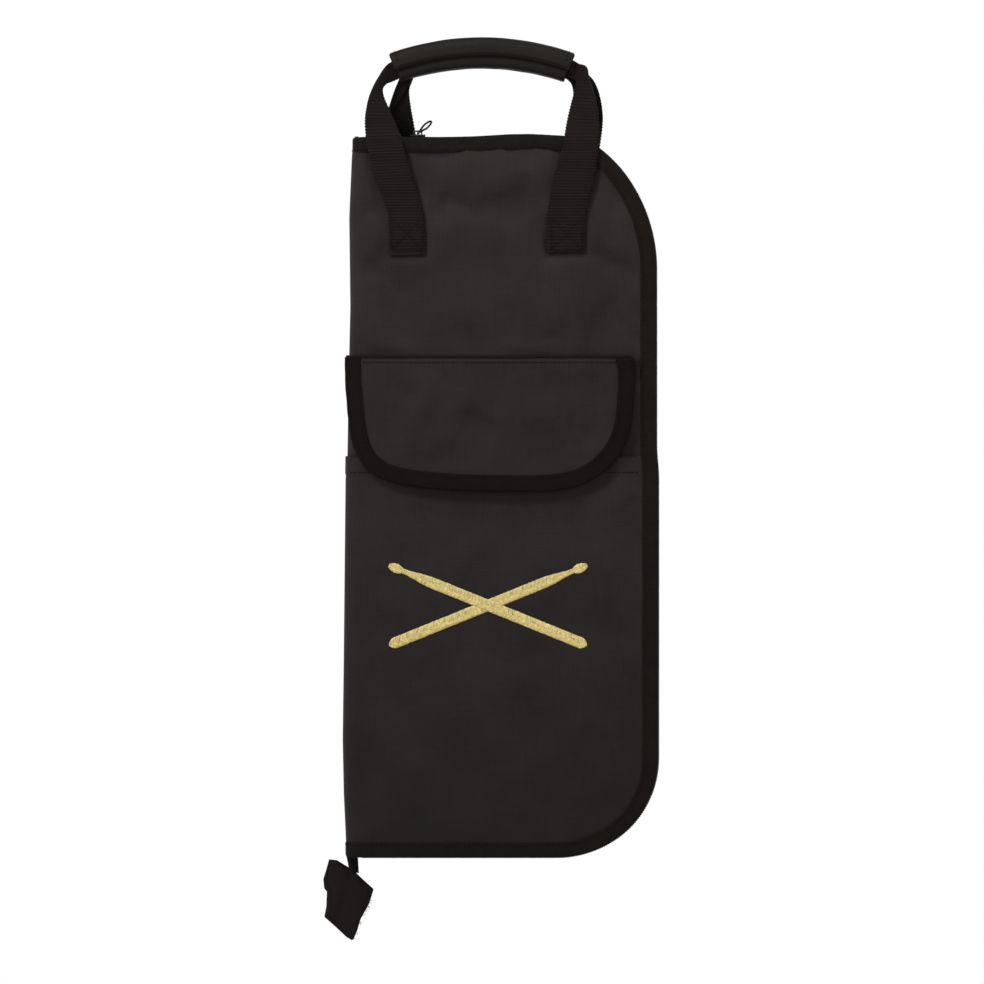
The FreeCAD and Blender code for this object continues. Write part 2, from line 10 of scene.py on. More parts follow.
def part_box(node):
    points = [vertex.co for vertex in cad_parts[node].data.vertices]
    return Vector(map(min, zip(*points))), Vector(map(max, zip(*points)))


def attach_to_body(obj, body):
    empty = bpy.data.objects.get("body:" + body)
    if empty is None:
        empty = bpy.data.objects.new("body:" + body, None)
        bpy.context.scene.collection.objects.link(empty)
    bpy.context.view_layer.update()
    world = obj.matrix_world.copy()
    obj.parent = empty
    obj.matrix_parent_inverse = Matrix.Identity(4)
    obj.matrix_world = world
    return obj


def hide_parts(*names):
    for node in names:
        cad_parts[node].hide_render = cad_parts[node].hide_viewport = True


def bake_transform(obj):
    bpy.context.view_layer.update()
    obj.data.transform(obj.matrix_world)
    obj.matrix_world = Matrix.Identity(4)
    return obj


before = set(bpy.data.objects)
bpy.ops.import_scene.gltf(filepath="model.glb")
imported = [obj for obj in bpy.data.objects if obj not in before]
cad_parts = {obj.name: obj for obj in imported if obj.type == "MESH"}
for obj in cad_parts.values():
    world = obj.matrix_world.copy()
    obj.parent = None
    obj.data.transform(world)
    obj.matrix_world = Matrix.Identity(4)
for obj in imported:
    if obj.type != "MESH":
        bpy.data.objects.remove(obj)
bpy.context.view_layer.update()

# Drum stick bag. Lengths are millimetres in the part's frame; meshes are written in metres.

MM = 0.001
random.seed(11)


def cad(node, corner, axis):
    """One coordinate of a CAD node's box, in millimetres."""
    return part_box(node)[corner][axis] / MM


def corners(node):
    """Both corners of a CAD node's box, in millimetres."""
    return (np.array(corner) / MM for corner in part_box(node))


LOW, HIGH = 0, 1
X, Y, Z = 0, 1, 2
RIGHT = cad("front_cover_binding", HIGH, X)
TOP = cad("front_cover_binding", HIGH, Z)
BOTTOM = cad("front_cover_binding", LOW, Z)
FACE = -cad("front_cover_fabric", LOW, Y)
INSIDE = -cad("front_cover_lining", HIGH, Y)
COVER = FACE - INSIDE
THIN = 1.2
BIND = 10.5
TAPE = 0.7
FOLD = 9.0
FLAT_FROM = FACE - FOLD + FOLD * pi / 2
FLAP_TOP = cad("flap_fabric", HIGH, Z)
MOUTH = cad("outer_pocket_panel", HIGH, Z)
FRONT, BACK = -1, 1
FORWARD = (0, -1, 0)
STITCH = 3.1
SEWN_IN = 1.9
COARSE = 6.0

# ---------------------------------------------------------------- numbers


def smooth(low, high, value):
    t = np.clip((value - low) / (high - low), 0, 1)
    return t * t * (3 - 2 * t)


def hill(value, middle, spread):
    return np.exp(-(((value - middle) / spread) ** 2))


def grain(a, b, size, seed):
    """Smooth noise, about -1 to 1, over two arrays of coordinates."""
    a, b = np.broadcast_arrays(a, b)
    found = [noise.noise(Vector((p / size + seed, q / size - seed, seed * 0.37))) for p, q in zip(a.flat, b.flat)]
    return np.reshape(found, a.shape)


def pack(*values):
    """Coordinates side by side, as points or as UVs."""
    return np.stack(np.broadcast_arrays(*values), axis=-1)


def unit(v):
    return v / np.maximum(np.linalg.norm(v, axis=-1, keepdims=True), 1e-9)


def lengths(points):
    """Distance along a line of points."""
    steps = np.linalg.norm(np.diff(points, axis=0), axis=1)
    return np.concatenate([[0], np.cumsum(steps)])


def spline(p0, p1, p2, p3, t):
    """The smooth curve between p1 and p2, at the share t of the way."""
    bend = (2 * p0 - 5 * p1 + 4 * p2 - p3) * t**2
    return 0.5 * (2 * p1 + (p2 - p0) * t + bend + (3 * p1 - p0 - 3 * p2 + p3) * t**3)


def curve(points, step):
    """A smooth curve through points, divided evenly."""
    points = np.asarray(points, float)
    padded = np.vstack([2 * points[0] - points[1], points, 2 * points[-1] - points[-2]])
    fine = []
    for i in range(1, len(padded) - 2):
        p0, p1, p2, p3 = padded[i - 1 : i + 3]
        for t in np.linspace(0, 1, 16, endpoint=False):
            fine.append(spline(p0, p1, p2, p3, t))
    fine.append(points[-1])
    return even(np.array(fine), step)


def even(points, step):
    """The same line of points, divided evenly."""
    along = lengths(points)
    count = max(2, int(round(along[-1] / step)) + 1)
    at = np.linspace(0, along[-1], count)
    return np.stack([np.interp(at, along, points[:, k]) for k in range(points.shape[1])], axis=1)


def stretch(field, rows, columns):
    """A field of values on a coarse grid, read smoothly on a finer one."""
    for axis, count in ((0, rows), (1, columns)):
        field = np.moveaxis(field, axis, 0)
        at = np.linspace(0, len(field) - 1, count)
        i = np.minimum(at.astype(int), len(field) - 2)
        t = (at - i).reshape(-1, *([1] * (field.ndim - 1)))
        p1, p2 = field[i], field[i + 1]
        p0 = field[np.maximum(i - 1, 0)]
        p3 = field[np.minimum(i + 2, len(field) - 1)]
        field = np.moveaxis(spline(p0, p1, p2, p3, t), 0, axis)
    return field


# ---------------------------------------------------------------- mesh building


class Build:
    """Collects grids, rings and strands into one mesh with a UV map in metres."""

    def __init__(self):
        self.points = []
        self.faces = []
        self.uvs = []
        self.count = 0
        self.shift = 0.0

    def grid(self, points, uv, wrap=False, caps=False):
        """Rows and columns of points. wrap joins the last column to the first, and uv then has one column more."""
        rows, columns = points.shape[:2]
        at = np.arange(rows * columns).reshape(rows, columns) + self.count
        across = np.concatenate([at, at[:, :1]], axis=1) if wrap else at
        quads = np.stack([across[:-1, :-1], across[:-1, 1:], across[1:, 1:], across[1:, :-1]], axis=-1)
        corner_uv = np.stack([uv[:-1, :-1], uv[:-1, 1:], uv[1:, 1:], uv[1:, :-1]], axis=-2)
        self.points.append(points.reshape(-1, 3))
        self.faces.extend(quads.reshape(-1, 4).tolist())
        self.uvs.append(corner_uv.reshape(-1, 2))
        if caps:
            self.faces.append(at[0][::-1].tolist())
            self.faces.append(at[-1].tolist())
            self.uvs.append(uv[0, :columns][::-1])
            self.uvs.append(uv[-1, :columns])
        self.count += rows * columns
        return at

    def sheet(self, front, back, uv):
        """A closed sheet between two grids of the same size."""
        columns = front.shape[1]
        ring = np.concatenate([front, back[:, ::-1]], axis=1)
        ring_uv = np.concatenate([uv, uv[:, ::-1], uv[:, :1]], axis=1)
        at = self.grid(ring, ring_uv, wrap=True)
        for row, turn in ((0, 1), (-1, -1)):
            for c in range(columns - 1):
                face = [at[row, c], at[row, 2 * columns - 1 - c], at[row, 2 * columns - 2 - c], at[row, c + 1]]
                corners = [uv[row, c], uv[row, c], uv[row, c + 1], uv[row, c + 1]]
                self.faces.append([int(v) for v in face[::turn]])
                self.uvs.append(np.array(corners[::turn]))

    def sweep(self, path, side, up, section):
        """A closed section (or one for each station) carried along a path in the axes side and up."""
        section = np.broadcast_to(section, (len(path), *section.shape[-2:]))
        points = path[:, None] + section[..., :1] * side[:, None] + section[..., 1:] * up[:, None]
        loop = np.concatenate([section, section[:, :1]], axis=1)
        around = np.concatenate(
            [np.zeros((len(path), 1)), np.cumsum(np.linalg.norm(np.diff(loop, axis=1), axis=2), axis=1)], axis=1
        )
        along = np.broadcast_to(lengths(path)[:, None] + self.shift, around.shape)
        self.grid(points, pack(around, along), wrap=True, caps=True)

    def tube(self, path, radius, sides=6):
        """A round tube along a path. radius may be one number or one for each point."""
        path = np.asarray(path, float)
        ahead = unit(np.gradient(path, axis=0))
        hint = np.array([0.0, 0.0, 1.0]) if abs(ahead[0][2]) < 0.8 else np.array([0.0, 1.0, 0.0])
        side = []
        for direction in ahead:
            hint = hint - direction * hint.dot(direction)
            hint = hint / np.linalg.norm(hint)
            side.append(hint)
        side = np.array(side)
        up = np.cross(ahead, side)
        angle = np.linspace(0, 2 * pi, sides, endpoint=False)
        ring = pack(np.cos(angle), np.sin(angle))
        radius = np.broadcast_to(radius, len(path))
        self.sweep(path, side, up, ring[None] * radius[:, None, None])

    def make(self, name, material, closed=True, facing=None):
        mesh = bpy.data.meshes.new(name)
        mesh.from_pydata((np.concatenate(self.points) * MM).tolist(), [], self.faces)
        layer = mesh.uv_layers.new(name="flat")
        layer.data.foreach_set("uv", (np.concatenate(self.uvs) * MM).astype(np.float32).ravel())
        mesh.polygons.foreach_set("use_smooth", [True] * len(mesh.polygons))
        mesh.materials.append(material)
        if closed:
            work = bmesh.new()
            work.from_mesh(mesh)
            bmesh.ops.recalc_face_normals(work, faces=work.faces)
            work.to_mesh(mesh)
            work.free()
        elif facing is not None:
            total = sum((p.normal * p.area for p in mesh.polygons), Vector())
            if total.dot(Vector(facing)) < 0:
                mesh.flip_normals()
        mesh.update()
        item = bpy.data.objects.new(name, mesh)
        bpy.context.scene.collection.objects.link(item)
        return item


def normals(points):
    """Unit normals of a grid of points."""
    return unit(np.cross(np.gradient(points, axis=1), np.gradient(points, axis=0)))


def flat_uv(rows, columns, wide, tall):
    return pack(np.linspace(0, wide, columns)[None], np.linspace(0, tall, rows)[:, None])


BENDS = {
    "front": ("spine", "front_cover", (-0.0905, 0, 0), (-0.084, -0.014, 0)),
    "back": ("back_cover", "spine", (-0.084, 0.014, 0), (-0.0905, 0, 0)),
    "flap": ("front_cover", "pocket_flap", (0, -0.0155, -0.1935), (0, -0.0175, -0.206)),
    "front_leg": ("front_cover", "front_handle", (0, -0.0155, -0.1035), (0, -0.0155, -0.0925)),
    "rear_leg": ("handle", "back_cover", (0, 0.0155, -0.0925), (0, 0.0155, -0.1035)),
    "upper": ("handle", "wrap_upper", (0, 0.0075, 0.0185), (0, 0.0005, 0.0185)),
    "lower": ("handle", "wrap_lower", (0, 0.0075, 0.0), (0, 0.0005, 0.0)),
}


def attach(item, where, slot, *nodes):
    """Rides on a body, or, for a bend between two, has its placement baked into its mesh, and hides the CAD nodes it
    stands for.
    """
    if where in BENDS:
        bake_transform(item)
    else:
        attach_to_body(item, where)
    if nodes:
        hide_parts(*nodes)
    return item


def place(build, name, look, where, slot, *nodes):
    """Makes the mesh of a build and attaches it."""
    attach(build.make(name, LOOKS[look]), where, slot, *nodes)


# ---------------------------------------------------------------- cloth simulation


def relax(points, pinned, pressure, spare, cap):
    """Lets a pinned sheet of cloth settle with some spare length, and returns how far its points moved."""
    rows, columns = points.shape[:2]
    build = Build()
    build.grid(points, flat_uv(rows, columns, 1, 1))
    item = build.make("cloth_work", None, closed=False)
    group = item.vertex_groups.new(name="pin")
    for index, weight in enumerate(np.ravel(pinned)):
        if weight > 0:
            group.add([index], float(weight), "REPLACE")
    cloth = item.modifiers.new("cloth", "CLOTH")
    settings = cloth.settings
    settings.quality = 6
    settings.mass = 0.15
    settings.tension_stiffness = 18
    settings.compression_stiffness = 14
    settings.shear_stiffness = 8
    settings.bending_stiffness = 1.5
    settings.vertex_group_mass = "pin"
    settings.shrink_min = -spare
    settings.use_pressure = True
    settings.uniform_pressure_force = pressure
    settings.effector_weights.gravity = 0
    cloth.collision_settings.use_collision = False
    cloth.point_cache.frame_start = 1
    cloth.point_cache.frame_end = 20
    scene = bpy.context.scene
    for number in range(1, 21):
        scene.frame_set(number)
    done = item.evaluated_get(bpy.context.evaluated_depsgraph_get())
    moved = np.array([v.co for v in done.data.vertices]).reshape(points.shape) / MM - points
    mesh = item.data
    bpy.data.objects.remove(item)
    bpy.data.meshes.remove(mesh)
    scene.frame_set(1)
    far = np.linalg.norm(moved, axis=-1, keepdims=True)
    return moved * (cap * np.tanh(far / cap) / np.maximum(far, 1e-6))


# ---------------------------------------------------------------- shape of the covers

TIGHT_R = 46.0
TIGHT = (RIGHT - 63.0, TOP - TIGHT_R)
BROAD_R = (63.0**2 + 88.0**2 - 2 * 88.0 * TIGHT_R) / (2 * (63.0 - TIGHT_R))
BROAD = (RIGHT - BROAD_R, TOP - 88.0)
LOWER_R = 66.0
LOWER = (RIGHT - LOWER_R, BOTTOM + LOWER_R)
TURN = atan2(TIGHT[1] - BROAD[1], TIGHT[0] - BROAD[0])
# The outline's arcs from the top round: centre, radius, and the angles at their lower and upper ends.
ARCS = ((TIGHT, TIGHT_R, TURN, pi / 2), (BROAD, BROAD_R, 0, TURN), (LOWER, LOWER_R, -pi / 2, 0))

FOLD_LINE = (
    (TOP, -86.0), (-60, -87.2), (-100, -88.9), (-160, -88.2), (-205, -89.2),
    (-276, -90.4), (-396, -91.6), (-450, -92.3), (-485, -91.6), (BOTTOM, -89.6),
)


def fold_x(z):
    """X of the soft fold at the spine."""
    heights, places = zip(*FOLD_LINE[::-1])
    return np.interp(z, heights, places)


def inset(x, z):
    """Distance inward from the covers' edge, the spine's side left out."""
    x, z = np.broadcast_arrays(np.asarray(x, float), np.asarray(z, float))
    near = np.minimum(np.minimum(TOP - z, z - BOTTOM), RIGHT - x)
    for (cx, cz), radius, low, high in ARCS:
        angle = np.arctan2(z - cz, x - cx)
        inside = (angle >= low) & (angle <= high) & (x > cx)
        near = np.where(inside, np.minimum(near, radius - np.hypot(x - cx, z - cz)), near)
    return near


def right_x(z, inward):
    """X of the covers' right edge at a height, drawn inward."""
    z = np.asarray(z, float)
    turn_z = TIGHT[1] + (TIGHT_R - inward) * sin(TURN)

    def arc(centre, radius):
        return centre[0] + np.sqrt(np.maximum((radius - inward) ** 2 - (z - centre[1]) ** 2, 0))

    found = np.where(z < LOWER[1], arc(LOWER, LOWER_R), RIGHT - inward)
    found = np.where(z > BROAD[1], arc(BROAD, BROAD_R), found)
    return np.where(z > turn_z, arc(TIGHT, TIGHT_R), found) + step_out(found, z)


def bow(x, z):
    """The top edge rises a little between the straps."""
    return 2.0 * hill(x, 28, 27) * smooth(-110, TOP, z)


def step_out(x, z):
    """The pocket's extra layer makes the bag a little wider below its mouth."""
    return 1.3 * smooth(-252, -276, z) * smooth(60, 105, x)


# Soft marks in the front's cloth: x and z at both ends, half width, height.
MARKS = (
    (-40, -76, 44, -73, 12, 1.8), (-40, -95, 44, -92, 9, -1.9), (-36, -112, 30, -114, 12, 0.9),
    (62, -118, 106, -142, 6, -1.7), (70, -108, 108, -128, 7, 1.1), (-86, -92, -60, -100, 6, -1.5),
    (-82, -133, -46, -152, 7, -1.4), (-84, -118, -60, -120, 8, 0.9), (-60, -166, 30, -158, 12, 0.8),
    (-30, -182, 60, -180, 8, -0.6),
)
POCKET_MARKS = (
    (34, -386, 84, -436, 7, -1.7), (46, -378, 96, -424, 8, 1.2), (24, -404, 66, -450, 8, 1.1),
    (84, -342, 100, -392, 7, -1.2), (-38, -474, -39, -516, 5, -1.5), (-27, -474, -28, -514, 6, 0.9),
    (-74, -330, -20, -300, 10, 0.8), (60, -292, 100, -330, 8, -1.0), (-78, -440, -50, -476, 8, 1.0),
    (10, -470, 66, -490, 8, 0.9), (-60, -400, -10, -420, 10, -0.7),
)
BACK_MARKS = (
    (-60, -110, 30, -150, 12, 1.4), (40, -200, 96, -250, 10, -1.3), (-70, -320, 0, -290, 12, 1.1),
    (-20, -430, 60, -470, 11, 1.2), (-76, -480, -50, -440, 8, -1.1), (-50, -220, 20, -250, 9, -1.0),
)
STRAPS = (-50.0, 56.5)


def marks(x, z, which):
    """Height of the soft marks at places on a cover."""
    total = 0
    for x0, z0, x1, z1, wide, tall in which:
        length = sqrt((x1 - x0) ** 2 + (z1 - z0) ** 2)
        dx, dz = (x1 - x0) / length, (z1 - z0) / length
        along = (x - x0) * dx + (z - z0) * dz
        off = (x - x0) * dz - (z - z0) * dx
        off = off + 0.04 * (along - length / 2) ** 2 / max(length, 1) * 2
        ends = smooth(-8, 8, along) * smooth(length + 8, length - 8, along)
        total = total + tall * np.exp(-((off / wide) ** 2)) * ends
    return total


def leg_x(z, side):
    """X of the middles of the two straps at a height, for the front or the back."""
    heights = (-99, -74, -47)
    left = (-50.5, -58.8, -66.0) if side == FRONT else (-50.2, -52.8, -56.0)
    right = (56.5, 62.0, 67.0) if side == FRONT else (56.9, 62.8, 68.0)
    return np.interp(z, heights, left), np.interp(z, heights, right)


def relief(x, z, side):
    """How far the padded cover swells out of its flat face."""
    near = inset(x, z)
    swell = 0.8 * smooth(9, 19, near) + 1.3 * smooth(14, 62, near)
    waves = 1.2 * grain(x, z, 62, 3.1 * side) + 0.7 * grain(x, z, 26, 5.7 * side)
    drawn = marks(x, z, MARKS if side == FRONT else BACK_MARKS)
    held = 0
    for middle in leg_x(z, side):
        held = np.maximum(held, smooth(20, 13, np.abs(x - middle)) * smooth(-132, -126, z))
    if side == FRONT:
        held = np.maximum(held, 0.8 * smooth(FLAP_TOP + 9, FLAP_TOP, z))
    return (swell + waves + drawn) * smooth(8, 17, near) * (1 - held)


def skin(s, z, side, lift=0.0, own=None):
    """Points and normals of a cover's outer face. s runs from the middle of the fold round to the free edge."""
    s, z = np.broadcast_arrays(np.asarray(s, float), np.asarray(z, float))
    flat = FACE - FOLD
    turn = np.clip((s - flat) / FOLD, 0, pi / 2)
    x = fold_x(z) + FOLD - FOLD * np.cos(turn) + np.maximum(s - FLAT_FROM, 0)
    y = np.minimum(s, flat) + FOLD * np.sin(turn)
    normal = pack(-np.cos(turn), side * np.sin(turn), 0.0)
    out = (relief(x, z, side) if own is None else own) * smooth(7, 26, s) + lift
    return pack(x, side * y, z + bow(x, z)) + normal * out[..., None], normal


def s_of(x, z):
    """Distance round the fold for a place on the flat of the face."""
    return x - fold_x(z) - FOLD + FLAT_FROM


def pocket_lift(x, z):
    """How far the outer pocket's cloth stands off the cover."""
    near = np.minimum(inset(x, z) - 7, (x + 88) * 0.8)
    full = 0.3 + 0.7 * smooth(-505, -270, z)
    wave = 1.1 * grain(x, z, 48, 8.3) + 0.65 * grain(x, z, 20, 4.4)
    loose = 2.6 * full + wave + 1.3 * marks(x, z, POCKET_MARKS)
    loose = 0.5 * (loose + np.sqrt(loose**2 + 1.2))
    return 1.0 + loose * smooth(0, 26, near)


# ---------------------------------------------------------------- materials


class Look:
    """A small helper for building a material's nodes. Texture lengths are millimetres."""

    def __init__(self, name, colour, rough, sheen=0.0, metal=0.0, specular=0.5, mapped=True):
        self.material = bpy.data.materials.new(name)
        self.material.use_nodes = True
        self.tree = self.material.node_tree
        self.tree.nodes.clear()
        self.colour = colour
        self.shader = self.tree.nodes.new("ShaderNodeBsdfPrincipled")
        output = self.tree.nodes.new("ShaderNodeOutputMaterial")
        self.tree.links.new(self.shader.outputs[0], output.inputs[0])
        for key, value in (
            ("Base Color", (*colour, 1)),
            ("Roughness", rough),
            ("Sheen Weight", sheen),
            ("Sheen Roughness", 0.45),
            ("Sheen Tint", (*[min(1, 0.55 + c * 4) for c in colour], 1)),
            ("Metallic", metal),
            ("Specular IOR Level", specular),
        ):
            self.shader.inputs[key].default_value = value
        if mapped:
            place = self.tree.nodes.new("ShaderNodeUVMap")
            place.uv_map = "flat"
            source = place.outputs[0]
        else:
            source = self.tree.nodes.new("ShaderNodeTexCoord").outputs["Object"]
        self.place = self.vector("MULTIPLY", source, (1000, 1000, 1000))
        parts = self.tree.nodes.new("ShaderNodeSeparateXYZ")
        self.tree.links.new(self.place, parts.inputs[0])
        if mapped:
            self.u, self.v = parts.outputs[0], parts.outputs[1]
        else:
            self.u, self.v = self.math("ADD", parts.outputs[0], parts.outputs[1]), parts.outputs[2]

    def put(self, socket, value):
        if hasattr(value, "links"):
            self.tree.links.new(value, socket)
        else:
            socket.default_value = value

    def math(self, operation, a, b=0.0, c=0.0):
        item = self.tree.nodes.new("ShaderNodeMath")
        item.operation = operation
        for socket, value in zip(item.inputs, (a, b, c)):
            self.put(socket, value)
        return item.outputs[0]

    def times(self, a, b):
        return self.math("MULTIPLY", a, b)

    def add(self, first, *more):
        for value in more:
            first = self.math("ADD", first, value)
        return first

    def vector(self, operation, a, b):
        item = self.tree.nodes.new("ShaderNodeVectorMath")
        item.operation = operation
        self.put(item.inputs[0], a)
        self.put(item.inputs[1], b)
        return item.outputs[0]

    def noise(self, size, detail=2.0, squash=(1, 1, 1), rough=0.5):
        item = self.tree.nodes.new("ShaderNodeTexNoise")
        item.inputs["Scale"].default_value = 1.0
        item.inputs["Detail"].default_value = detail
        item.inputs["Roughness"].default_value = rough
        place = self.vector("MULTIPLY", self.place, tuple(k / size for k in squash))
        self.tree.links.new(place, item.inputs["Vector"])
        return item.outputs["Fac"]

    def wave(self, value, pitch):
        """Sine of a length, from -1 to 1, once for each pitch."""
        return self.math("SINE", self.times(value, 2 * pi / pitch))

    def ramp(self, value, low, high, out_low, out_high):
        item = self.tree.nodes.new("ShaderNodeMapRange")
        for socket, number in zip(item.inputs, (value, low, high, out_low, out_high)):
            self.put(socket, number)
        return item.outputs[0]

    def shade(self, factor):
        """The base colour times a factor."""
        self.tree.links.new(self.vector("MULTIPLY", self.colour, factor), self.shader.inputs["Base Color"])

    def rough(self, value):
        self.tree.links.new(value, self.shader.inputs["Roughness"])

    def height(self, value, strength=1.0):
        """Bump from a height in millimetres."""
        item = self.tree.nodes.new("ShaderNodeBump")
        item.inputs["Strength"].default_value = strength
        item.inputs["Distance"].default_value = MM
        self.tree.links.new(value, item.inputs["Height"])
        self.tree.links.new(item.outputs[0], self.shader.inputs["Normal"])


def woven(name, colour, pitch=0.62, rough=0.78, sheen=0.25, specular=0.22, mottle=0.16, painted_shade_below=None):
    """Coated woven cloth: crossing threads, thick and thin yarns, a little unevenness of colour, and, when asked,
    painted shade darkening it towards its bottom.
    """
    look = Look(name, colour, rough, sheen, specular=specular)
    over = look.wave(look.u, pitch)
    under = look.wave(look.v, pitch)
    cross = look.times(over, under)
    warp = look.noise(1.0, 2.0, (1 / (pitch * 1.6), 1 / 26, 1 / 8))
    weft = look.noise(1.0, 2.0, (1 / 26, 1 / (pitch * 1.6), 1 / 8))
    yarn = look.add(warp, weft)
    cloud = look.noise(38, 3.0)
    fleck = look.noise(2.2, 2.0)
    look.height(look.add(look.times(cross, 0.045), look.times(yarn, 0.10), look.times(cloud, 0.35)))
    tone = look.add(
        look.ramp(yarn, 0.7, 1.3, -0.17, 0.17),
        look.ramp(cloud, 0.3, 0.7, -mottle, mottle),
        look.ramp(fleck, 0.3, 0.75, -0.08, 0.10),
        look.times(cross, 0.10),
        1.0,
    )
    # Painted shade: the colour is darkened towards the bottom, down to the given share at the lower height.
    if painted_shade_below:
        tone = look.times(tone, look.ramp(look.v, *painted_shade_below, 1.0))
    look.shade(tone)
    look.rough(look.ramp(look.add(fleck, yarn), 1.0, 1.9, rough - 0.09, rough + 0.08))
    return look.material


def ribbed(name, colour, pitch, depth, rough=0.72, sheen=0.22, specular=0.25, edge=0.0):
    """Narrow woven tape: ribs across it, fine threads along it, lint and a slightly worn edge."""
    look = Look(name, colour, rough, sheen, specular=specular)
    rib = look.wave(look.v, pitch)
    thread = look.wave(look.u, pitch * 0.55)
    lint = look.noise(1.6, 3.0)
    cloud = look.noise(24, 2.0)
    look.height(look.add(look.times(rib, depth), look.times(thread, depth * 0.45), look.times(lint, 0.12)))
    tone = look.add(
        look.times(rib, 0.16),
        look.times(thread, 0.08),
        look.ramp(lint, 0.35, 0.75, -0.12, 0.22),
        look.ramp(cloud, 0.3, 0.7, -0.12, 0.12),
    )
    if edge:
        worn = look.times(look.noise(5, 3.0), look.noise(1.2, 1.0))
        tone = look.add(tone, look.ramp(worn, 0.22, 0.45, 0.0, edge))
    look.shade(look.add(tone, 1.0))
    look.rough(look.ramp(lint, 0.3, 0.7, rough - 0.1, rough + 0.08))
    return look.material


def fuzzy(name, colour):
    """The ground of a hook or loop strip."""
    look = Look(name, colour, 0.9, 0.1, specular=0.08, mapped=False)
    cell = look.noise(0.7, 3.0, rough=0.7)
    look.height(look.times(cell, 0.5))
    look.shade(look.ramp(cell, 0.3, 0.7, 0.6, 1.4))
    look.rough(look.ramp(look.noise(3, 1.0), 0.3, 0.7, 0.84, 0.96))
    return look.material


def thread(name, colour, rough=0.55, metal=0.0, sheen=0.2, specular=0.4, twist=0.9):
    """Twisted sewing thread."""
    look = Look(name, colour, rough, sheen, metal, specular)
    ply = look.wave(look.add(look.u, look.v), twist)
    tone = look.noise(3.0, 2.0, rough=0.7)
    look.height(look.times(ply, 0.03))
    look.shade(look.add(look.ramp(tone, 0.3, 0.7, 0.58, 1.32), look.times(ply, 0.12)))
    look.rough(look.ramp(tone, 0.3, 0.7, rough - 0.08, rough + 0.1))
    return look.material


def enamel(name, colour):
    """Black enamelled metal, rubbed and finely scratched."""
    look = Look(name, colour, 0.32, 0.0, 0.85, 0.5, mapped=False)
    rub = look.noise(1.4, 3.0)
    scratch = look.noise(1.0, 2.0, (3, 3, 0.3))
    look.height(look.times(rub, 0.03))
    look.shade(look.ramp(rub, 0.5, 0.72, 0.8, 3.4))
    look.rough(look.ramp(scratch, 0.3, 0.7, 0.22, 0.46))
    return look.material


def nylon(name, colour):
    """Smooth moulded monofilament."""
    look = Look(name, colour, 0.6, 0.0, 0.0, 0.08)
    tone = look.noise(4, 2.0)
    look.height(look.times(look.noise(0.5, 1.0), 0.02))
    look.shade(look.ramp(tone, 0.3, 0.7, 0.75, 1.3))
    look.rough(look.ramp(tone, 0.3, 0.7, 0.46, 0.62))
    return look.material


LOOKS = {
    "cover": woven("cover_cloth", (0.0170, 0.0130, 0.0131), sheen=0.07, specular=0.12),
    # The flap's cloth is the cover's cloth painted darker: painted shade.
    "flap": woven("flap_cloth", (0.0148, 0.0112, 0.0114), sheen=0.07, specular=0.12),
    # The pocket's cloth gets painted shade: its colour darkens from full at z -290 down to 70 % at z -520.
    "pocket": woven("pocket_cloth", (0.0170, 0.0130, 0.0132), sheen=0.07, specular=0.12, painted_shade_below=(-520, -290, 0.70)),
    "lining": woven("lining_cloth", (0.0125, 0.0112, 0.0115), 0.5, 0.5, 0.06, 0.22, 0.12),
    "binding": ribbed("binding_tape", (0.0070, 0.0050, 0.0042), 1.05, 0.07, 0.75, 0.03, 0.06, edge=0.4),
    # The flap's binding is the binding tape painted darker: painted shade.
    "flap_binding": ribbed("flap_binding_tape", (0.0050, 0.0035, 0.0031), 1.05, 0.07, 0.75, 0.02, 0.05, edge=0.4),
    "webbing": ribbed("webbing_yarn", (0.0058, 0.0041, 0.0036), 1.15, 0.06, 0.6, 0.03, 0.07, edge=0.3),
    "wrap": woven("wrap_cloth", (0.0075, 0.0054, 0.0042), 0.7, 0.5, 0.02, 0.11, 0.14),
    "tab": woven("tab_cloth", (0.0072, 0.0050, 0.0047), 0.62, 0.68, 0.03, 0.09, 0.2),
    "tape": ribbed("zipper_tape_cloth", (0.0065, 0.0060, 0.0060), 0.8, 0.05, 0.75, 0.04, 0.1),
    "pile": fuzzy("pile_base", (0.0070, 0.0070, 0.0070)),
    "coil": nylon("zipper_nylon", (0.0070, 0.0065, 0.0062)),
    "metal": enamel("zipper_enamel", (0.016, 0.016, 0.017)),
    "stitch": thread("black_thread", (0.0045, 0.0036, 0.0034), 0.7, sheen=0.02, specular=0.10),
    "gold": thread("gold_thread", (0.655, 0.53, 0.205), 0.32, 0.3, 0.05, 0.6, 0.8),
}

# ---------------------------------------------------------------- stitches


def stitches(build, path, out, pitch=STITCH, share=0.72, radius=0.24, sink=0.25, sides=5):
    """A row of stitches along a path. out is the direction the cloth faces at each point."""
    path = np.asarray(path, float)
    out = np.broadcast_to(out, path.shape)
    along = lengths(path)
    both = np.concatenate([path, out], axis=1)
    for start in np.arange(pitch * 0.3, along[-1] - pitch * share, pitch):
        wobble = random.uniform(-0.06, 0.06)
        at = start + np.array([0, 0.14, 0.5, 0.86, 1]) * pitch * share
        found = np.stack([np.interp(at, along, both[:, k]) for k in range(6)], axis=1)
        normal = unit(found[:, 3:])
        across = unit(np.cross(normal, np.gradient(found[:, :3], axis=0)))
        build.shift = random.uniform(0, 500)
        rise = np.array([-sink, radius * 0.6, radius, radius * 0.6, -sink])
        points = found[:, :3] + normal * rise[:, None] + across * (wobble + np.linspace(-0.05, 0.05, 5))[:, None]
        build.tube(points, radius, sides)


# ---------------------------------------------------------------- the two covers


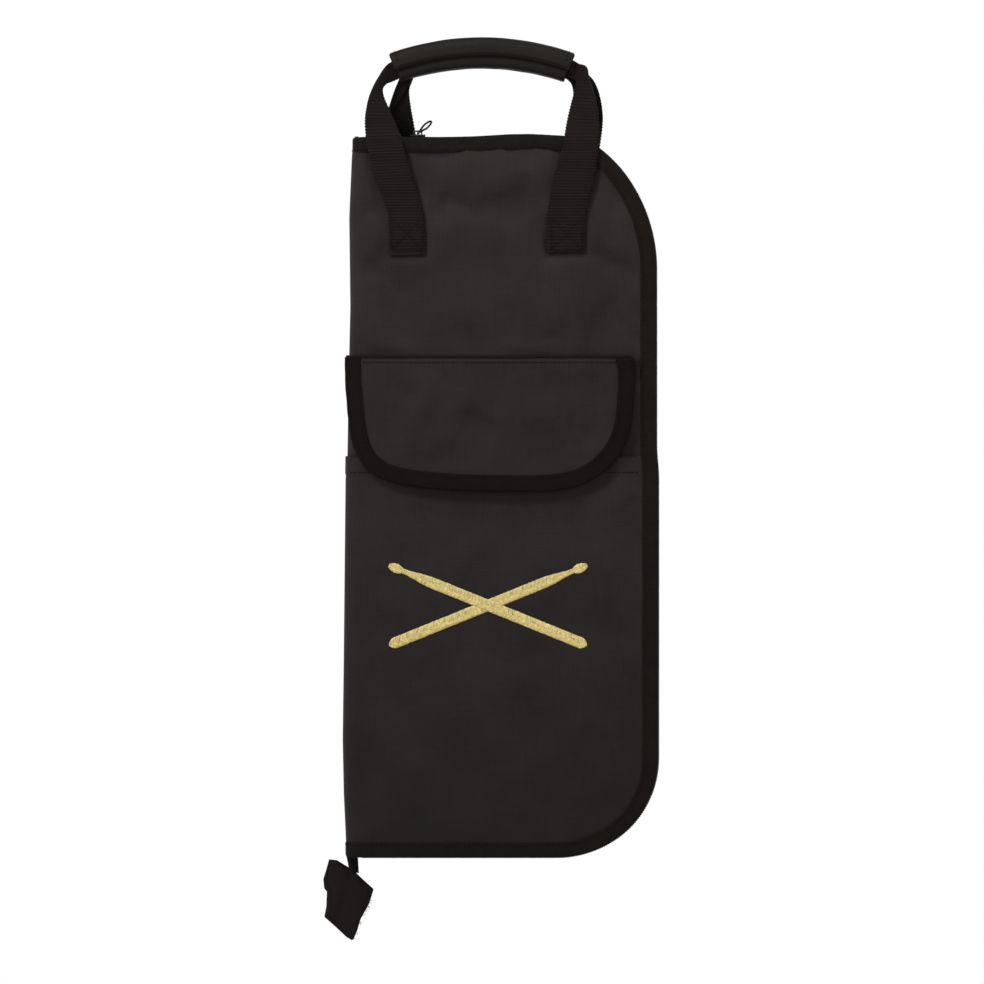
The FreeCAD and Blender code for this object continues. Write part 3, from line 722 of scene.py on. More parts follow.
def cover_grid(step, inward=3.0):
    """Rows and columns over a cover, from the middle of the fold to the free edge."""
    rows = int((TOP - BOTTOM) / step)
    z = np.linspace(TOP - 0.75, BOTTOM + 0.75, rows)[:, None]
    end = right_x(z, inward)
    fold_columns = max(5, int(FLAT_FROM / step) + 3)
    flat_columns = int(200 / step)
    round_fold = np.linspace(0, FLAT_FROM, fold_columns, endpoint=False)[None]
    over_flat = np.linspace(0, 1, flat_columns)[None]
    flat_s = FLAT_FROM + (s_of(end, z) - FLAT_FROM) * over_flat
    return np.concatenate([np.broadcast_to(round_fold, (rows, fold_columns)), flat_s], axis=1), z


def cover_relax(side):
    """How a cover's cloth settles, on a coarse grid."""
    s, z = cover_grid(COARSE)
    points, _ = skin(s, z, side)
    pinned = np.zeros(s.shape)
    pinned[:2] = pinned[-2:] = 1
    pinned[:, 0] = pinned[:, -2:] = 1
    x = points[..., 0]
    for middle in STRAPS:
        pinned[(np.abs(x - middle) < 14) & (z < -96) & (z > -128)] = 1
    if side == FRONT:
        pinned[z + 0 * x < FLAP_TOP + 4] = 1
    return relax(points, pinned, 1.2 * -side, 0.014, 1.9)


def make_cover(side, name):
    """A cover's padded outside and its lining, each running to the middle of the fold."""
    settled = cover_relax(side)
    s, z = cover_grid(2.4)
    points, _ = skin(s, z, side)
    points = points + stretch(settled, *s.shape) * smooth(10, 30, s)[..., None]
    build = Build()
    build.grid(points, pack(s, z))
    panel = build.make(f"{name}_panel", LOOKS["cover"], closed=False, facing=(-0.3, side, 0))
    nodes = [f"{name}_cover_fabric", f"{name}_cover_foam"]
    if side == FRONT:
        nodes.append("spine_fabric")
    attach(panel, name, "cover_fabric", *nodes)

    s, z = cover_grid(4.0)
    base, normal = skin(s, z, side, own=0.0 * s)
    thick = THIN + (COVER - THIN) * smooth(3, 17, s)
    x = base[..., 0]
    puff = 0.3 * grain(x, z, 40, 2.2 + side) * smooth(8, 20, inset(x, z)) * smooth(0, 20, s)
    inner = base - normal * (thick - puff)[..., None]
    build = Build()
    build.grid(inner, pack(s, z))
    lining = build.make(f"{name}_inner_lining", LOOKS["lining"], closed=False, facing=(0.3, -side, 0))
    nodes = [f"{name}_cover_lining"] + (["spine_lining"] if side == FRONT else [])
    attach(lining, name, "lining_fabric", *nodes)


def outline(step, bowed=True):
    """The covers' outline as (x, z) with inward normals, from the top left round to the bottom left."""
    left_top = fold_x(TOP) + FOLD
    left_bottom = fold_x(BOTTOM) + FOLD
    points = [(x, TOP, 0, -1) for x in np.arange(left_top, TIGHT[0], step)]
    for centre, radius, stop, start in ARCS:
        if centre is LOWER:
            points += [(RIGHT, z, -1, 0) for z in np.arange(BROAD[1] - step, LOWER[1], -step)]
        count = max(3, int(abs(start - stop) * radius / step))
        for angle in np.linspace(start, stop, count, endpoint=False):
            across, up = cos(angle), sin(angle)
            points.append((centre[0] + radius * across, centre[1] + radius * up, -across, -up))
    points += [(x, BOTTOM, 0, 1) for x in np.arange(LOWER[0] - step, left_bottom, -step)]
    points = np.array(points)
    points[:, 0] += step_out(points[:, 0], points[:, 1])
    if bowed:
        points[:, 1] += bow(points[:, 0], points[:, 1])
    return points


def edge_path(side, step):
    """The free edge of a cover from the fold's middle at the top round to the fold's middle at the bottom.

    Returns the outer face's edge points, the inward and outward directions, and the cover's thickness.
    """
    s = np.arange(0, FLAT_FROM, step * 0.7)
    top, top_out = skin(s, TOP, side, own=0 * s)
    low, low_out = skin(s[::-1], BOTTOM, side, own=0 * s)
    line = outline(step)
    middle = pack(line[:, 0], side * FACE, line[:, 1])
    inward = pack(line[:, 2], 0.0, line[:, 3])
    count = len(s)
    path = np.concatenate([top, middle, low])
    down = np.tile([0.0, 0.0, -1.0], (count, 1))
    inwards = np.concatenate([down, inward, -down])
    face = np.tile([0.0, float(side), 0.0], (len(line), 1))
    outwards = np.concatenate([top_out, face, low_out])
    fold_thick = THIN + (COVER - THIN) * smooth(4, 16, s)
    thick = np.concatenate([fold_thick, np.full(len(line), COVER), fold_thick[::-1]])
    return path, inwards, outwards, thick


def tape_section(thick, wide, lift=0.0, tape=TAPE):
    """A folded tape round an edge, in (inward, outward) from the edge of the outer face."""
    low = -thick
    half = [(wide, 0.04), (wide - 0.1, tape * 0.75), (wide - 0.7, tape), (wide * 0.75, tape + 0.10)]
    half += [(wide * 0.45, tape + 0.05), (wide * 0.22, tape + 0.08), (1.2, tape - 0.05), (0.45, tape - 0.4)]
    section = [(a, lift + b) for a, b in half]
    section += [(0.08, lift * 0.6 - 0.3), (0.0, low / 2), (0.08, low + 0.3)]
    section += [(a, low - b) for a, b in half[::-1]]
    return np.array(section + [(1.6, low - 0.02), (1.2, low / 2), (1.6, lift + 0.02)])


def bound(path, thick, wide, lift, pucker, wander):
    """Binding sections along a path, puckered by its stitches. wander is the height, size and seed of its waves."""
    sections = np.array([tape_section(*numbers) for numbers in pack(thick, wide, lift)])
    pucker = pucker * np.sin(2 * pi * lengths(path) / STITCH)[:, None]
    sections[:, 2:5, 1] += pucker
    sections[:, 14:17, 1] -= pucker
    tall, size, seed = wander
    sections[:, 7:12, 0] += (tall * uneven(path, size, seed))[:, None]
    return sections


def uneven(path, size, seed):
    """Slow unevenness along a path."""
    along = lengths(path)
    return grain(along, 0 * along, size, seed)


def make_binding(side, name):
    """The binding round a cover's free edge, with a row of stitches on each face."""
    path, inward, outward, thick = edge_path(side, 1.6)
    wide = BIND + 0.35 * uneven(path, 31, 1.0 + side)
    lift = 1.05 * smooth(MOUTH + 9, MOUTH + 1, path[:, 2]) if side == FRONT else 0 * thick
    build = Build()
    build.sweep(path, inward, outward, bound(path, thick, wide, lift, 0.09, (0.16, 9, 4.0 + side)))
    place(build, f"{name}_edge_binding", "binding", name, "binding_tape", f"{name}_cover_binding")

    rows = Build()
    sewn = wide - SEWN_IN
    outer = path + inward * sewn[:, None] + outward * (lift + TAPE + 0.12)[:, None]
    inner = path + inward * sewn[:, None] - outward * (thick + TAPE + 0.12)[:, None]
    stitches(rows, outer, outward)
    stitches(rows, inner, -outward)
    place(rows, f"{name}_binding_stitches", "stitch", name, "binding_tape")


# ---------------------------------------------------------------- zipper

# The coil: one turn, and how far its middle and its reach are from the plane between the halves.
COIL_PITCH = 1.62
COIL_MIDDLE = 1.62
COIL_REACH = 1.36


def zip_path(step, start):
    """The zipper's line round the free edges from x = start, with its inward directions."""
    line = outline(step, bowed=False)
    top, low = line[:, 1] > TOP - 9, line[:, 1] < BOTTOM + 9
    line = line[~((top | low) & (line[:, 0] < start))]
    return pack(line[:, 0], 0.0, line[:, 1]), pack(line[:, 2], 0.0, line[:, 3])


def make_zipper(side, name):
    """One half of the zipper: its tape, two rows of stitches, and its coil."""
    path, inward = zip_path(1.6, -84.5)
    across = np.tile([0.0, float(side), 0.0], (len(path), 1))
    corners = np.array([(1.75, 0.9), (1.7, 5), (1.75, 9.4), (2.55, 9.4), (2.6, 5), (2.55, 0.9)])
    build = Build()
    build.sweep(path, inward, across, corners)
    place(build, f"{name}_zip_tape", "tape", f"{name}_cover", "zipper_tape", f"{name}_zipper_tape")
    rows = Build()
    for offset in (3.4, 4.4):
        stitches(rows, path + inward * 1.68 + across * offset, -inward, 2.0, 0.7, 0.13, 0.1, 4)
    place(rows, f"{name}_zip_stitches", "stitch", f"{name}_cover", "zipper_tape")

    path, inward = zip_path(1.2, -82.6)
    path = even(path, 0.16)
    inward = unit(pack(np.gradient(path[:, 2]), 0.0, -np.gradient(path[:, 0])))
    along = lengths(path)
    turn = 2 * pi * along / COIL_PITCH + (0 if side == FRONT else pi)
    reach = np.cos(turn)
    flat = np.sign(reach) * np.abs(reach) ** 0.6
    depth = COIL_MIDDLE - COIL_REACH * flat
    proud = 0.7 * smooth(-52, -72, path[:, 2])
    rise = 0.62 - 0.5 * proud - (1.1 + 0.5 * proud) * np.sin(turn)
    points = path + inward * rise[:, None] + np.array([0, side, 0]) * depth[:, None]
    build = Build()
    build.tube(points, 0.33 + 0.1 * smooth(0.55, 1.0, flat), 5)
    place(build, f"{name}_zip_coil", "coil", f"{name}_cover", "zipper_coil", f"{name}_zipper_coil")


def make_pull():
    """The wire ring on the slider's bridge, lying a little twisted."""
    low, high = corners("zipper_pull")
    pivot = np.array([low[0] + 0.8, 0, low[2] + 0.8])
    lean = radians(42)
    ahead = np.array([cos(lean), 0, sin(lean)])
    upward = np.array([-sin(lean), 0, cos(lean)])
    wide = (high[1] - low[1]) / 2 - 0.55
    shape = [(0, -wide + 0.5), (0.5, -wide), (6.5, -wide), (10.6, -1.6), (11.9, 0), (10.6, 1.6), (6.5, wide)]
    shape += [(0.5, wide), (0, wide - 0.5), (0, 0), (0, -wide + 0.5)]
    points = []
    for a, b in shape:
        twist = radians(40) * float(smooth(1.5, 6.0, a))
        points.append(pivot + ahead * a + np.array([0, 1, 0]) * b * cos(twist) + upward * b * sin(twist))
    build = Build()
    build.tube(curve(points, 0.5), 0.7, 8)
    place(build, "pull_wire", "metal", "zip_pull", "zipper_metal", "zipper_pull")


# ---------------------------------------------------------------- outer pocket


def pocket_grid(step):
    """Rows and columns over the pocket, from the fold to the right edge."""
    rows = int((MOUTH - BOTTOM) / step)
    z = np.linspace(MOUTH, BOTTOM + 3.2, rows)
    z[1] = MOUTH - 0.5
    z = z[:, None]
    end = s_of(right_x(z, 3.2), z)
    columns = int(205 / step)
    return 5.0 + (end - 5.0) * np.linspace(0, 1, columns)[None], z


def hem(z):
    """1 in the turned hem at the pocket's mouth, 0 below it."""
    return smooth(MOUTH - 13.6, MOUTH - 12.4, z)


def pocket_points(s, z):
    """Points and normals of the pocket's outer face."""
    base, _ = skin(s, z, FRONT, own=0.0 * s)
    lift = pocket_lift(base[..., 0], z)
    step = 0.35 * hem(z) - 0.25 * hill(z, MOUTH - 13, 0.8)
    return skin(s, z, FRONT, lift + step, own=relief(base[..., 0], z, FRONT))


def make_pocket():
    """The outer pocket's cloth and hem stitches. Returns its outer face."""
    s, z = pocket_grid(COARSE)
    points, _ = pocket_points(s, z)
    pinned = np.zeros(s.shape)
    pinned[-2:] = 1
    pinned[:, :3] = pinned[:, -2:] = 1
    pinned[0] = 0.6
    settled = relax(points, pinned, 0.8, 0.014, 1.5)
    s, z = pocket_grid(2.2)
    points, normal = pocket_points(s, z)
    moved = stretch(settled, *s.shape)
    moved[..., 1] = np.clip(moved[..., 1], -1.8, 0.4)
    points = points + moved * smooth(12, 30, s)[..., None]
    thick = 0.8 + 0.4 * hem(z)
    thick = thick * (0.35 + 0.65 * smooth(MOUTH, MOUTH - 3, z))
    build = Build()
    build.sheet(points, points - normal * thick[..., None], pack(s, z))
    panel = build.make("pocket_front", LOOKS["pocket"])
    attach(panel, "front", "cover_fabric", "outer_pocket_panel")
    rows = Build()
    for drop in (11.6, 2.2):
        columns = slice(3, -4)
        row = np.argmin(np.abs(z[:, 0] - (MOUTH - drop)))
        stitches(rows, points[row, columns], normal[row, columns])
    place(rows, "pocket_hem_stitches", "stitch", "front", "cover_fabric")
    return points


def surface_of(points, x, z):
    """Y of a grid of points at places given by x and z."""
    rows = points[:, points.shape[1] // 2, 2]
    found = []
    for px, pz in zip(np.ravel(x), np.ravel(z)):
        r = np.interp(-pz, -rows, np.arange(len(rows)))
        i = int(min(r, len(rows) - 2))
        near = [np.interp(px, points[k, :, 0], points[k, :, 1]) for k in (i, i + 1)]
        found.append(near[0] + (near[1] - near[0]) * (r - i))
    return np.reshape(found, np.shape(x))


# ---------------------------------------------------------------- pocket flap

# The flap's edge from the left end of its seam round to the right end: x and distance below the seam.
FLAP_EDGE = (
    (-91.6, 0), (-91.5, 10), (-91.2, 20), (-90.0, 34), (-88.4, 49), (-85.6, 61),
    (-79.9, 71.6), (-72.4, 78.5), (-63.7, 82.9), (-51.6, 86.2), (-30.2, 88.8), (-12.1, 89.9),
    (10, 90.4), (32.8, 90.5), (50.9, 89.6), (65.3, 86.2), (78.2, 79.5), (88.4, 70.2),
    (95.8, 58.5), (99.8, 45), (101.7, 26.9), (102.2, 12), (101.6, 4), (100.6, 0),
)
# Dimples in the flap: height, x and half width, distance below the seam and half height, and slant.
FLAP_DIMPLES = (
    (-1.7, -57, 10, 34, 17, 0), (1.1, -16, 15, 30, 12, 0), (-1.7, -2, 11, 46, 12, 0.5),
    (0.9, 40, 16, 42, 12, 0), (-1.1, 54, 30, 21, 7, 0), (-1.2, 71, 9, 52, 10, 0),
)
FLAP_LEFT = FLAP_EDGE[0][0]
FLAP_RIGHT = FLAP_EDGE[-1][0]
FLAP_TALL = 90.5
FLAP_SEAM_Y = -15.7
FLAP_BIND = 11.5
FLAP_HALF = 0.55
FLAP_SLOPE = 0.087


def flap_near(x, v):
    """Distance from the flap's bound edge."""
    line = curve([(*p, 0) for p in FLAP_EDGE], 2.0)[:, :2]
    gaps = (np.hypot(x - px, v - pv) for px, pv in line)
    return np.minimum.reduce(list(gaps))


def flap_points(x, v):
    """The flap's middle surface. v is the distance down from its seam."""
    x, v = np.broadcast_arrays(np.asarray(x, float), np.asarray(v, float))
    loose = smooth(12, 26, flap_near(x, v)) * smooth(2, 16, v)
    hang = FLAP_SLOPE * v + 0.35 * smooth(0, 30, v)
    waves = 1.1 * grain(x, v, 42, 6.1) + 0.65 * grain(x, v, 18, 9.2)
    dimples = 0
    for tall, middle, wide, drop, high, slant in FLAP_DIMPLES:
        dimples = dimples + tall * hill(x - slant * (v - drop), middle, wide) * hill(v, drop, high)
    out = hang + (waves + 1.2 * dimples) * loose
    back = 2.6 * smooth(-80, -93, x) + 0.8 * smooth(94, 103, x)
    return pack(x, FLAP_SEAM_Y - out + back, FLAP_TOP - v * 0.998)


def flap_line(step, inward=0.0):
    """The flap's edge and its inward directions, both as x and distance below the seam."""
    line = curve([(*p, 0) for p in FLAP_EDGE], step)[:, :2]
    ahead = unit(np.gradient(line, axis=0))
    turned = pack(ahead[:, 1], -ahead[:, 0])
    return line + turned * inward, turned


def flap_grid(step):
    """Rows and columns over the flap, inside its outline."""
    line, _ = flap_line(1.0, 1.5)
    foot = int(np.argmax(line[:, 1]))
    low = line[foot, 1] - 1.2
    rows = int(FLAP_TALL / step)
    v = low * (1 - (1 - np.linspace(0, 1, rows)) ** 1.35)
    left = np.interp(v, line[: foot + 1, 1], line[: foot + 1, 0])
    right = np.interp(v, line[foot:, 1][::-1], line[foot:, 0][::-1])
    across = np.linspace(0, 1, int(194 / step))[None]
    return left[:, None] + (right - left)[:, None] * across, v[:, None]


def make_flap():
    """The flap's cloth, binding, stitches, rolled seam painted near-black as the shadow line along the flap's top, and
    loose threads.
    """
    x, v = flap_grid(COARSE)
    points = flap_points(x, v)
    pinned = np.zeros(x.shape)
    pinned[:2] = 1
    pinned[-2:] = pinned[:, :2] = pinned[:, -2:] = 0.8
    settled = relax(points, pinned, 0.6, 0.014, 1.5)
    x, v = flap_grid(2.0)
    moved = stretch(settled, *x.shape)
    moved[..., 1] = np.clip(moved[..., 1], -1.4, 0.8)
    rim = smooth(12.5, 28, flap_near(x, v))
    middle = flap_points(x, v) + moved * rim[..., None]
    normal = normals(middle)
    normal = normal * np.sign(-normal[..., 1:2])
    build = Build()
    uv = pack(x, v)
    build.sheet(middle + normal * FLAP_HALF, middle - normal * FLAP_HALF, uv)
    cloth = build.make("flap_cloth", LOOKS["flap"])
    wide, tall = np.ptp(x), np.ptp(v)
    attach(cloth, "flap", "cover_fabric", "flap_fabric")

    line, turned = flap_line(1.6)
    path = flap_points(line[:, 0], line[:, 1])
    ahead = unit(np.gradient(path, axis=0))
    probe = line + turned * 4
    inward = unit(flap_points(probe[:, 0], probe[:, 1]) - path)
    outward = np.cross(inward, ahead)
    outward = unit(outward * np.sign(-outward[:, 1:2]))
    wide = FLAP_BIND + 0.4 * uneven(path, 27, 7.7)
    sections = bound(path, 2 * FLAP_HALF, wide, 0.0, 0.1, (0.2, 8, 2.9))
    sections[..., 1] += FLAP_HALF
    build = Build()
    build.sweep(path, inward, outward, sections)
    place(build, "flap_edge_binding", "flap_binding", "flap", "binding_tape", "flap_binding")

    rows = Build()
    for inset_by in (SEWN_IN, FLAP_BIND - SEWN_IN):
        for face in (1, -1):
            lift = FLAP_HALF + TAPE + 0.1
            stitches(rows, path + inward * inset_by + outward * lift * face, outward * face)
    seam_x = np.arange(FLAP_LEFT + 2, FLAP_RIGHT - 1, 2.0)
    seam = flap_points(seam_x, np.full(len(seam_x), 3.6)) + np.array([0, -0.58, 0])
    stitches(rows, seam, FORWARD)
    for k in range(17):
        bar_x = 89.6 + k * 0.68
        top = flap_points(bar_x, 0.6) + np.array([0, -0.7, 0])
        low = flap_points(bar_x + 0.2, 3.1) + np.array([0, -0.7, 0])
        rows.tube(np.linspace(top, low, 4) + np.array([[0, 0.3, 0], [0, -0.2, 0], [0, -0.2, 0], [0, 0.3, 0]]), 0.36, 5)
    place(rows, "flap_stitches", "stitch", "flap", "cover_fabric")

    # The rolled seam is real; it takes the near-black thread colour as painted shadow, the dark line of the gap
    # between the cover and the flap's top edge.
    roll_x = np.arange(FLAP_LEFT + 1.0, FLAP_RIGHT - 0.5, 1.6)
    line = flap_points(roll_x, np.zeros(len(roll_x)))
    line[:, 1] -= 0.25
    line[:, 2] += 0.2 + 0.25 * grain(roll_x, 0 * roll_x, 12, 3.3)
    build = Build()
    build.tube(line, 1.05, 8)
    place(build, "flap_seam_roll_painted_shadow", "stitch", "front_cover", "cover_fabric")

    frays = Build()
    for number in range(9):
        start = np.array([99.5 + 0.5 * random.random(), -15.6, FLAP_TOP - 0.5 - number * 0.5])
        reach = random.uniform(3.5, 8.0)
        drop = random.uniform(2.0, 11.0)
        far = reach * random.uniform(0.7, 1.0)
        line = [(0, 0, 0), (reach * 0.5, -0.8, -drop * 0.1), (reach * 0.9, -0.5, -drop * 0.5), (far, 0.1, -drop)]
        frays.tube(curve(start + np.array(line), 0.8), 0.16, 5)
    place(frays, "flap_loose_threads", "stitch", "front_cover", "cover_fabric")


# ---------------------------------------------------------------- embroidered drum sticks


def make_emblem(points):
    """Two crossed sticks in split satin stitch: slanting strands from a middle line out to both edges."""
    low, high = corners("emblem_embroidery")
    centre = ((low + high) / 2)[[0, 2]]
    half = 71.5
    lean = radians(22)
    build = Build()
    for turn, over in ((lean, 0.0), (pi - lean, 0.4)):
        ahead = np.array([cos(turn), sin(turn)])
        aside = np.array([-sin(turn), cos(turn)])
        for at in np.arange(-half + 0.6, half - 0.4, 0.62):
            for sign in (-1, 1):
                wide = stick_half(at, half) + random.uniform(-0.12, 0.16)
                if wide < 0.4:
                    continue
                t = np.linspace(-0.08, 1, 6)
                flat = centre + ahead * (at + random.uniform(-0.08, 0.08)) + np.outer(sign * t * wide, aside)
                flat = flat + np.outer(t * min(wide, 3.0) * 0.62 * smooth(1, 9, half - at), ahead)
                rise = 0.32 * np.sin(np.clip(t, 0, 1) * pi * 0.9 + 0.25) + over * hill(at, 0, 8)
                y = surface_of(points, flat[:, 0], flat[:, 1]) - rise - random.uniform(0.0, 0.16)
                build.shift = random.uniform(0, 900)
                build.tube(pack(flat[:, 0], y, flat[:, 1]), 0.34)
    place(build, "emblem_sticks", "gold", "front_cover", "gold_thread", "emblem_embroidery")


def stick_half(at, half):
    """Half the width of the embroidered stick at a distance from its middle."""
    from_tip = half - at
    if from_tip < 11:
        t = (from_tip - 5.5) / 5.5
        return 1.5 * max(t, 0) * 0.6 + 3.0 * sqrt(max(1 - t * t, 0)) * 0.95
    if from_tip < 34:
        return 1.5 + (3.6 - 1.5) * float(smooth(11, 34, from_tip))
    from_butt = at + half
    if from_butt < 3:
        return 3.6 * sqrt(max(1 - ((3 - from_butt) / 3) ** 2, 0))
    return 3.6


# ---------------------------------------------------------------- webbing handles

RIB = 2.1
ARCH_R = 176.0
ARCH_TOP = 10.0


def ribbon(build, first, second, thick, out, crown=0.0):
    """A strap between two rails. out is the direction its face looks, roughly."""
    across = second - first
    middle = (first + second) / 2
    ahead = unit(np.gradient(middle, axis=0))
    face = np.cross(unit(across), ahead)
    face = unit(face * np.sign(np.sum(face * out, axis=1, keepdims=True) + 1e-9))
    for _ in range(2):
        face = unit(face + np.roll(face, 1, axis=0) * 0.3 + np.roll(face, -1, axis=0) * 0.3)
    along = lengths(middle)
    drift = 0.8 * grain(along, 0 * along, 9, 2.2)
    rib = (0.15 + 0.05 * grain(along, 0 * along, 6, 7.1)) * np.sin(2 * pi * along / RIB + drift)
    share = np.array([0, 0.012, 0.04, 0.1, 0.2, 0.32, 0.44, 0.56, 0.68, 0.8, 0.9, 0.96, 0.988, 1])
    fat = np.array([0.2, 0.62, 0.9, 1, 1, 1, 1, 1, 1, 1, 1, 0.9, 0.62, 0.2]) * thick / 2
    bulge = crown * (1 - (2 * share - 1) ** 2)
    wider = 0.012 * np.sin(2 * pi * along / RIB)[:, None, None] * (2 * share - 1)[None, :, None]
    body = first[:, None] + across[:, None] * (share[None, :, None] + wider) + face[:, None] * bulge[None, :, None]
    lift = (fat + rib[:, None] * (fat / fat.max()))[..., None] * face[:, None]
    under = fat[None, :, None] * face[:, None]
    ring = np.concatenate([body + lift, (body - under)[:, ::-1]], axis=1)
    u = np.concatenate([share * 25.4, 26 + share * 25.4, [0]])
    uv = pack(u[None], along[:, None])
    build.grid(ring, uv, wrap=True, caps=True)


def arch(x_angle, radial):
    """A place on the grip's arch."""
    reach = ARCH_R + radial
    return reach * np.sin(x_angle), ARCH_TOP - ARCH_R + reach * np.cos(x_angle)


def handle_rails(left, right, grip_y):
    """Two rails (inner, outer) of a handle from its left sewn end over the grip to its right sewn end."""
    angles = np.radians(np.linspace(-16.5, 16.5, 9))
    inner_x, inner_z = arch(angles, -6.2)
    outer_x, outer_z = arch(angles, 6.2)
    inner = [(x, y, z) for x, z, _, _, y, _ in left]
    outer = [(x, y, z) for _, _, x, z, _, y in left]
    inner += [(x, grip_y, z) for x, z in zip(inner_x, inner_z)]
    outer += [(x, grip_y, z) for x, z in zip(outer_x, outer_z)]
    inner += [(x, y, z) for x, z, _, _, y, _ in right[::-1]]
    outer += [(x, y, z) for _, _, x, z, _, y in right[::-1]]
    both = curve(np.hstack([np.array(inner, float), np.array(outer, float)]), 0.5)
    return both[:, :3], both[:, 3:]


# Stations of each leg from its sewn end up: inner x, z, outer x, z, inner y, outer y (as if in front).
FRONT_LEFT = (
    (-37.3, -125.6, -61.4, -126.4, -15.0, -15.0), (-37.6, -112, -62.0, -112, -15.1, -15.1),
    (-38.9, -99, -62.6, -99, -15.5, -15.5), (-42.0, -87, -66.6, -87, -16.2, -16.2),
    (-46.4, -74, -71.2, -75, -16.8, -16.8), (-50.8, -59, -75.2, -60, -17.0, -17.0),
    (-53.4, -49, -77.2, -50, -16.2, -16.4), (-58.0, -37, -78.2, -37, -12.6, -13.6),
    (-61.9, -28, -77.3, -27.5, -9.6, -11.6), (-65.2, -20.5, -75.2, -20, -7.4, -10.0),
    (-66.4, -14.6, -72.0, -12.7, -5.4, -8.4), (-64.2, -10.9, -68.4, -6.0, -3.9, -6.6),
    (-60.4, -9.2, -64.2, 1.0, -2.9, -4.4), (-56.0, -7.2, -60.4, 4.3, -2.6, -2.8),
)
FRONT_RIGHT = (
    (43.2, -124.4, 69.2, -124.0, -15.0, -15.0), (43.2, -112, 69.4, -112, -15.1, -15.1),
    (43.8, -99, 69.8, -99, -15.5, -15.5), (46.2, -87, 72.0, -87, -16.2, -16.2),
    (49.0, -74, 75.0, -75, -16.8, -16.8), (52.6, -58, 77.4, -58, -17.0, -17.0),
    (55.0, -46, 78.3, -46, -15.6, -15.9), (57.0, -35, 78.0, -36, -12.2, -13.0),
    (59.6, -24, 76.9, -25, -9.0, -10.4), (61.8, -15.5, 74.2, -16, -6.6, -8.4),
    (63.3, -8.6, 71.2, -7.0, -4.6, -7.0), (62.0, -7.6, 69.8, 0.6, -3.4, -5.4),
    (59.6, -6.6, 65.0, 2.6, -2.9, -3.8), (56.4, -6.0, 60.4, 5.4, -2.6, -2.9),
)
REAR_LEFT = (
    (-37.3, -125.0, -62.7, -125.0, -15.0, -15.0), (-37.3, -112, -62.7, -112, -15.1, -15.1),
    (-37.5, -99, -62.9, -99, -15.5, -15.5), (-39.0, -82, -64.4, -82, -16.6, -16.6),
    (-41.4, -64, -66.6, -64, -17.0, -17.0), (-43.6, -49, -67.6, -49, -15.8, -15.8),
    (-46.0, -35.5, -66.2, -36, -11.6, -11.9), (-48.0, -24, -62.4, -25, -7.8, -8.6),
    (-48.9, -14.5, -58.6, -15, -5.0, -6.6), (-47.0, -8.4, -55.0, -6.4, -3.4, -5.4),
    (-45.4, -4.0, -52.0, 4.0, -2.7, -3.4),
)
REAR_RIGHT = (
    (43.8, -125.0, 69.2, -125.0, -15.0, -15.0), (43.8, -112, 69.2, -112, -15.1, -15.1),
    (44.2, -99, 69.6, -99, -15.5, -15.5), (48.0, -82, 73.6, -82, -16.6, -16.6),
    (52.4, -64, 77.6, -64, -17.0, -17.0), (55.8, -49, 79.8, -49, -15.8, -15.8),
    (58.6, -37, 81.2, -37, -12.4, -12.6), (60.6, -27, 81.0, -28, -9.6, -9.9),
    (61.4, -18, 79.4, -18.5, -7.0, -7.8), (60.4, -11.0, 75.8, -9.0, -4.8, -6.4),
    (57.6, -7.4, 69.6, -2.4, -3.4, -5.4), (54.0, -5.2, 60.0, 5.0, -2.7, -3.6),
)


def make_handle(side, name, left, right, where, nodes):
    """A webbing handle, doubled at the grip, with the box stitches of its sewn ends."""
    flip = -side

    def placed(leg):
        return [(ix, iz, ox, oz, iy * flip, oy * flip) for ix, iz, ox, oz, iy, oy in leg]

    inner, outer = handle_rails(placed(left), placed(right), -2.05 * flip)
    out = np.array([0.0, float(side), 0.0])
    build = Build()
    ribbon(build, inner, outer, 1.35, out, 0.25)
    # The other half of the webbing, folded behind, from just below the grip on both sides.
    start = np.argmax(inner[:, 2] > -34)
    stop = len(inner) - np.argmax(inner[::-1, 2] > -34)
    along = np.linspace(0, 1, stop - start)
    full = smooth(0, 0.16, along) * smooth(1, 0.84, along)
    behind = -out * (1.5 + 0.4 * hill(along, 0.1, 0.05)[:, None] + 0.4 * hill(along, 0.9, 0.05)[:, None])
    top = outer[start:stop] + behind
    free = outer[start:stop] + (inner[start:stop] - outer[start:stop]) * (0.06 + 0.9 * full)[:, None] + behind
    ribbon(build, free, top, 1.25, out)
    middle = outer[start:stop] + (inner[start:stop] - outer[start:stop]) * 0.09 + behind / 2
    build.tube(middle[::3], np.maximum(1.42 * smooth(0, 0.05, along[::3]) * smooth(1, 0.95, along[::3]), 0.3), 8)
    place(build, f"{name}_strap", "webbing", where, "webbing", *nodes)

    rows = Build()
    for middle in STRAPS:
        half, low, high = 10.4, -122.4, -100.6
        corners = [(-half, high), (half, high), (half, low), (-half, low), (-half, high), (half, low)]
        corners += [(half, high), (-half, low)]
        points = np.array([(middle + dx, side * (FACE + 1.95), z) for dx, z in corners])
        for first, second in zip(points[:-1], points[1:]):
            if abs(first[0] - second[0]) < 0.1 and abs(first[2] - second[2]) < 0.1:
                continue
            stitches(rows, np.linspace(first, second, 12), out, 2.7, 0.74, 0.26, 0.35)
    place(rows, f"{name}_strap_stitches", "stitch", f"{name}_cover", "webbing")


# ---------------------------------------------------------------- padded grip wrap


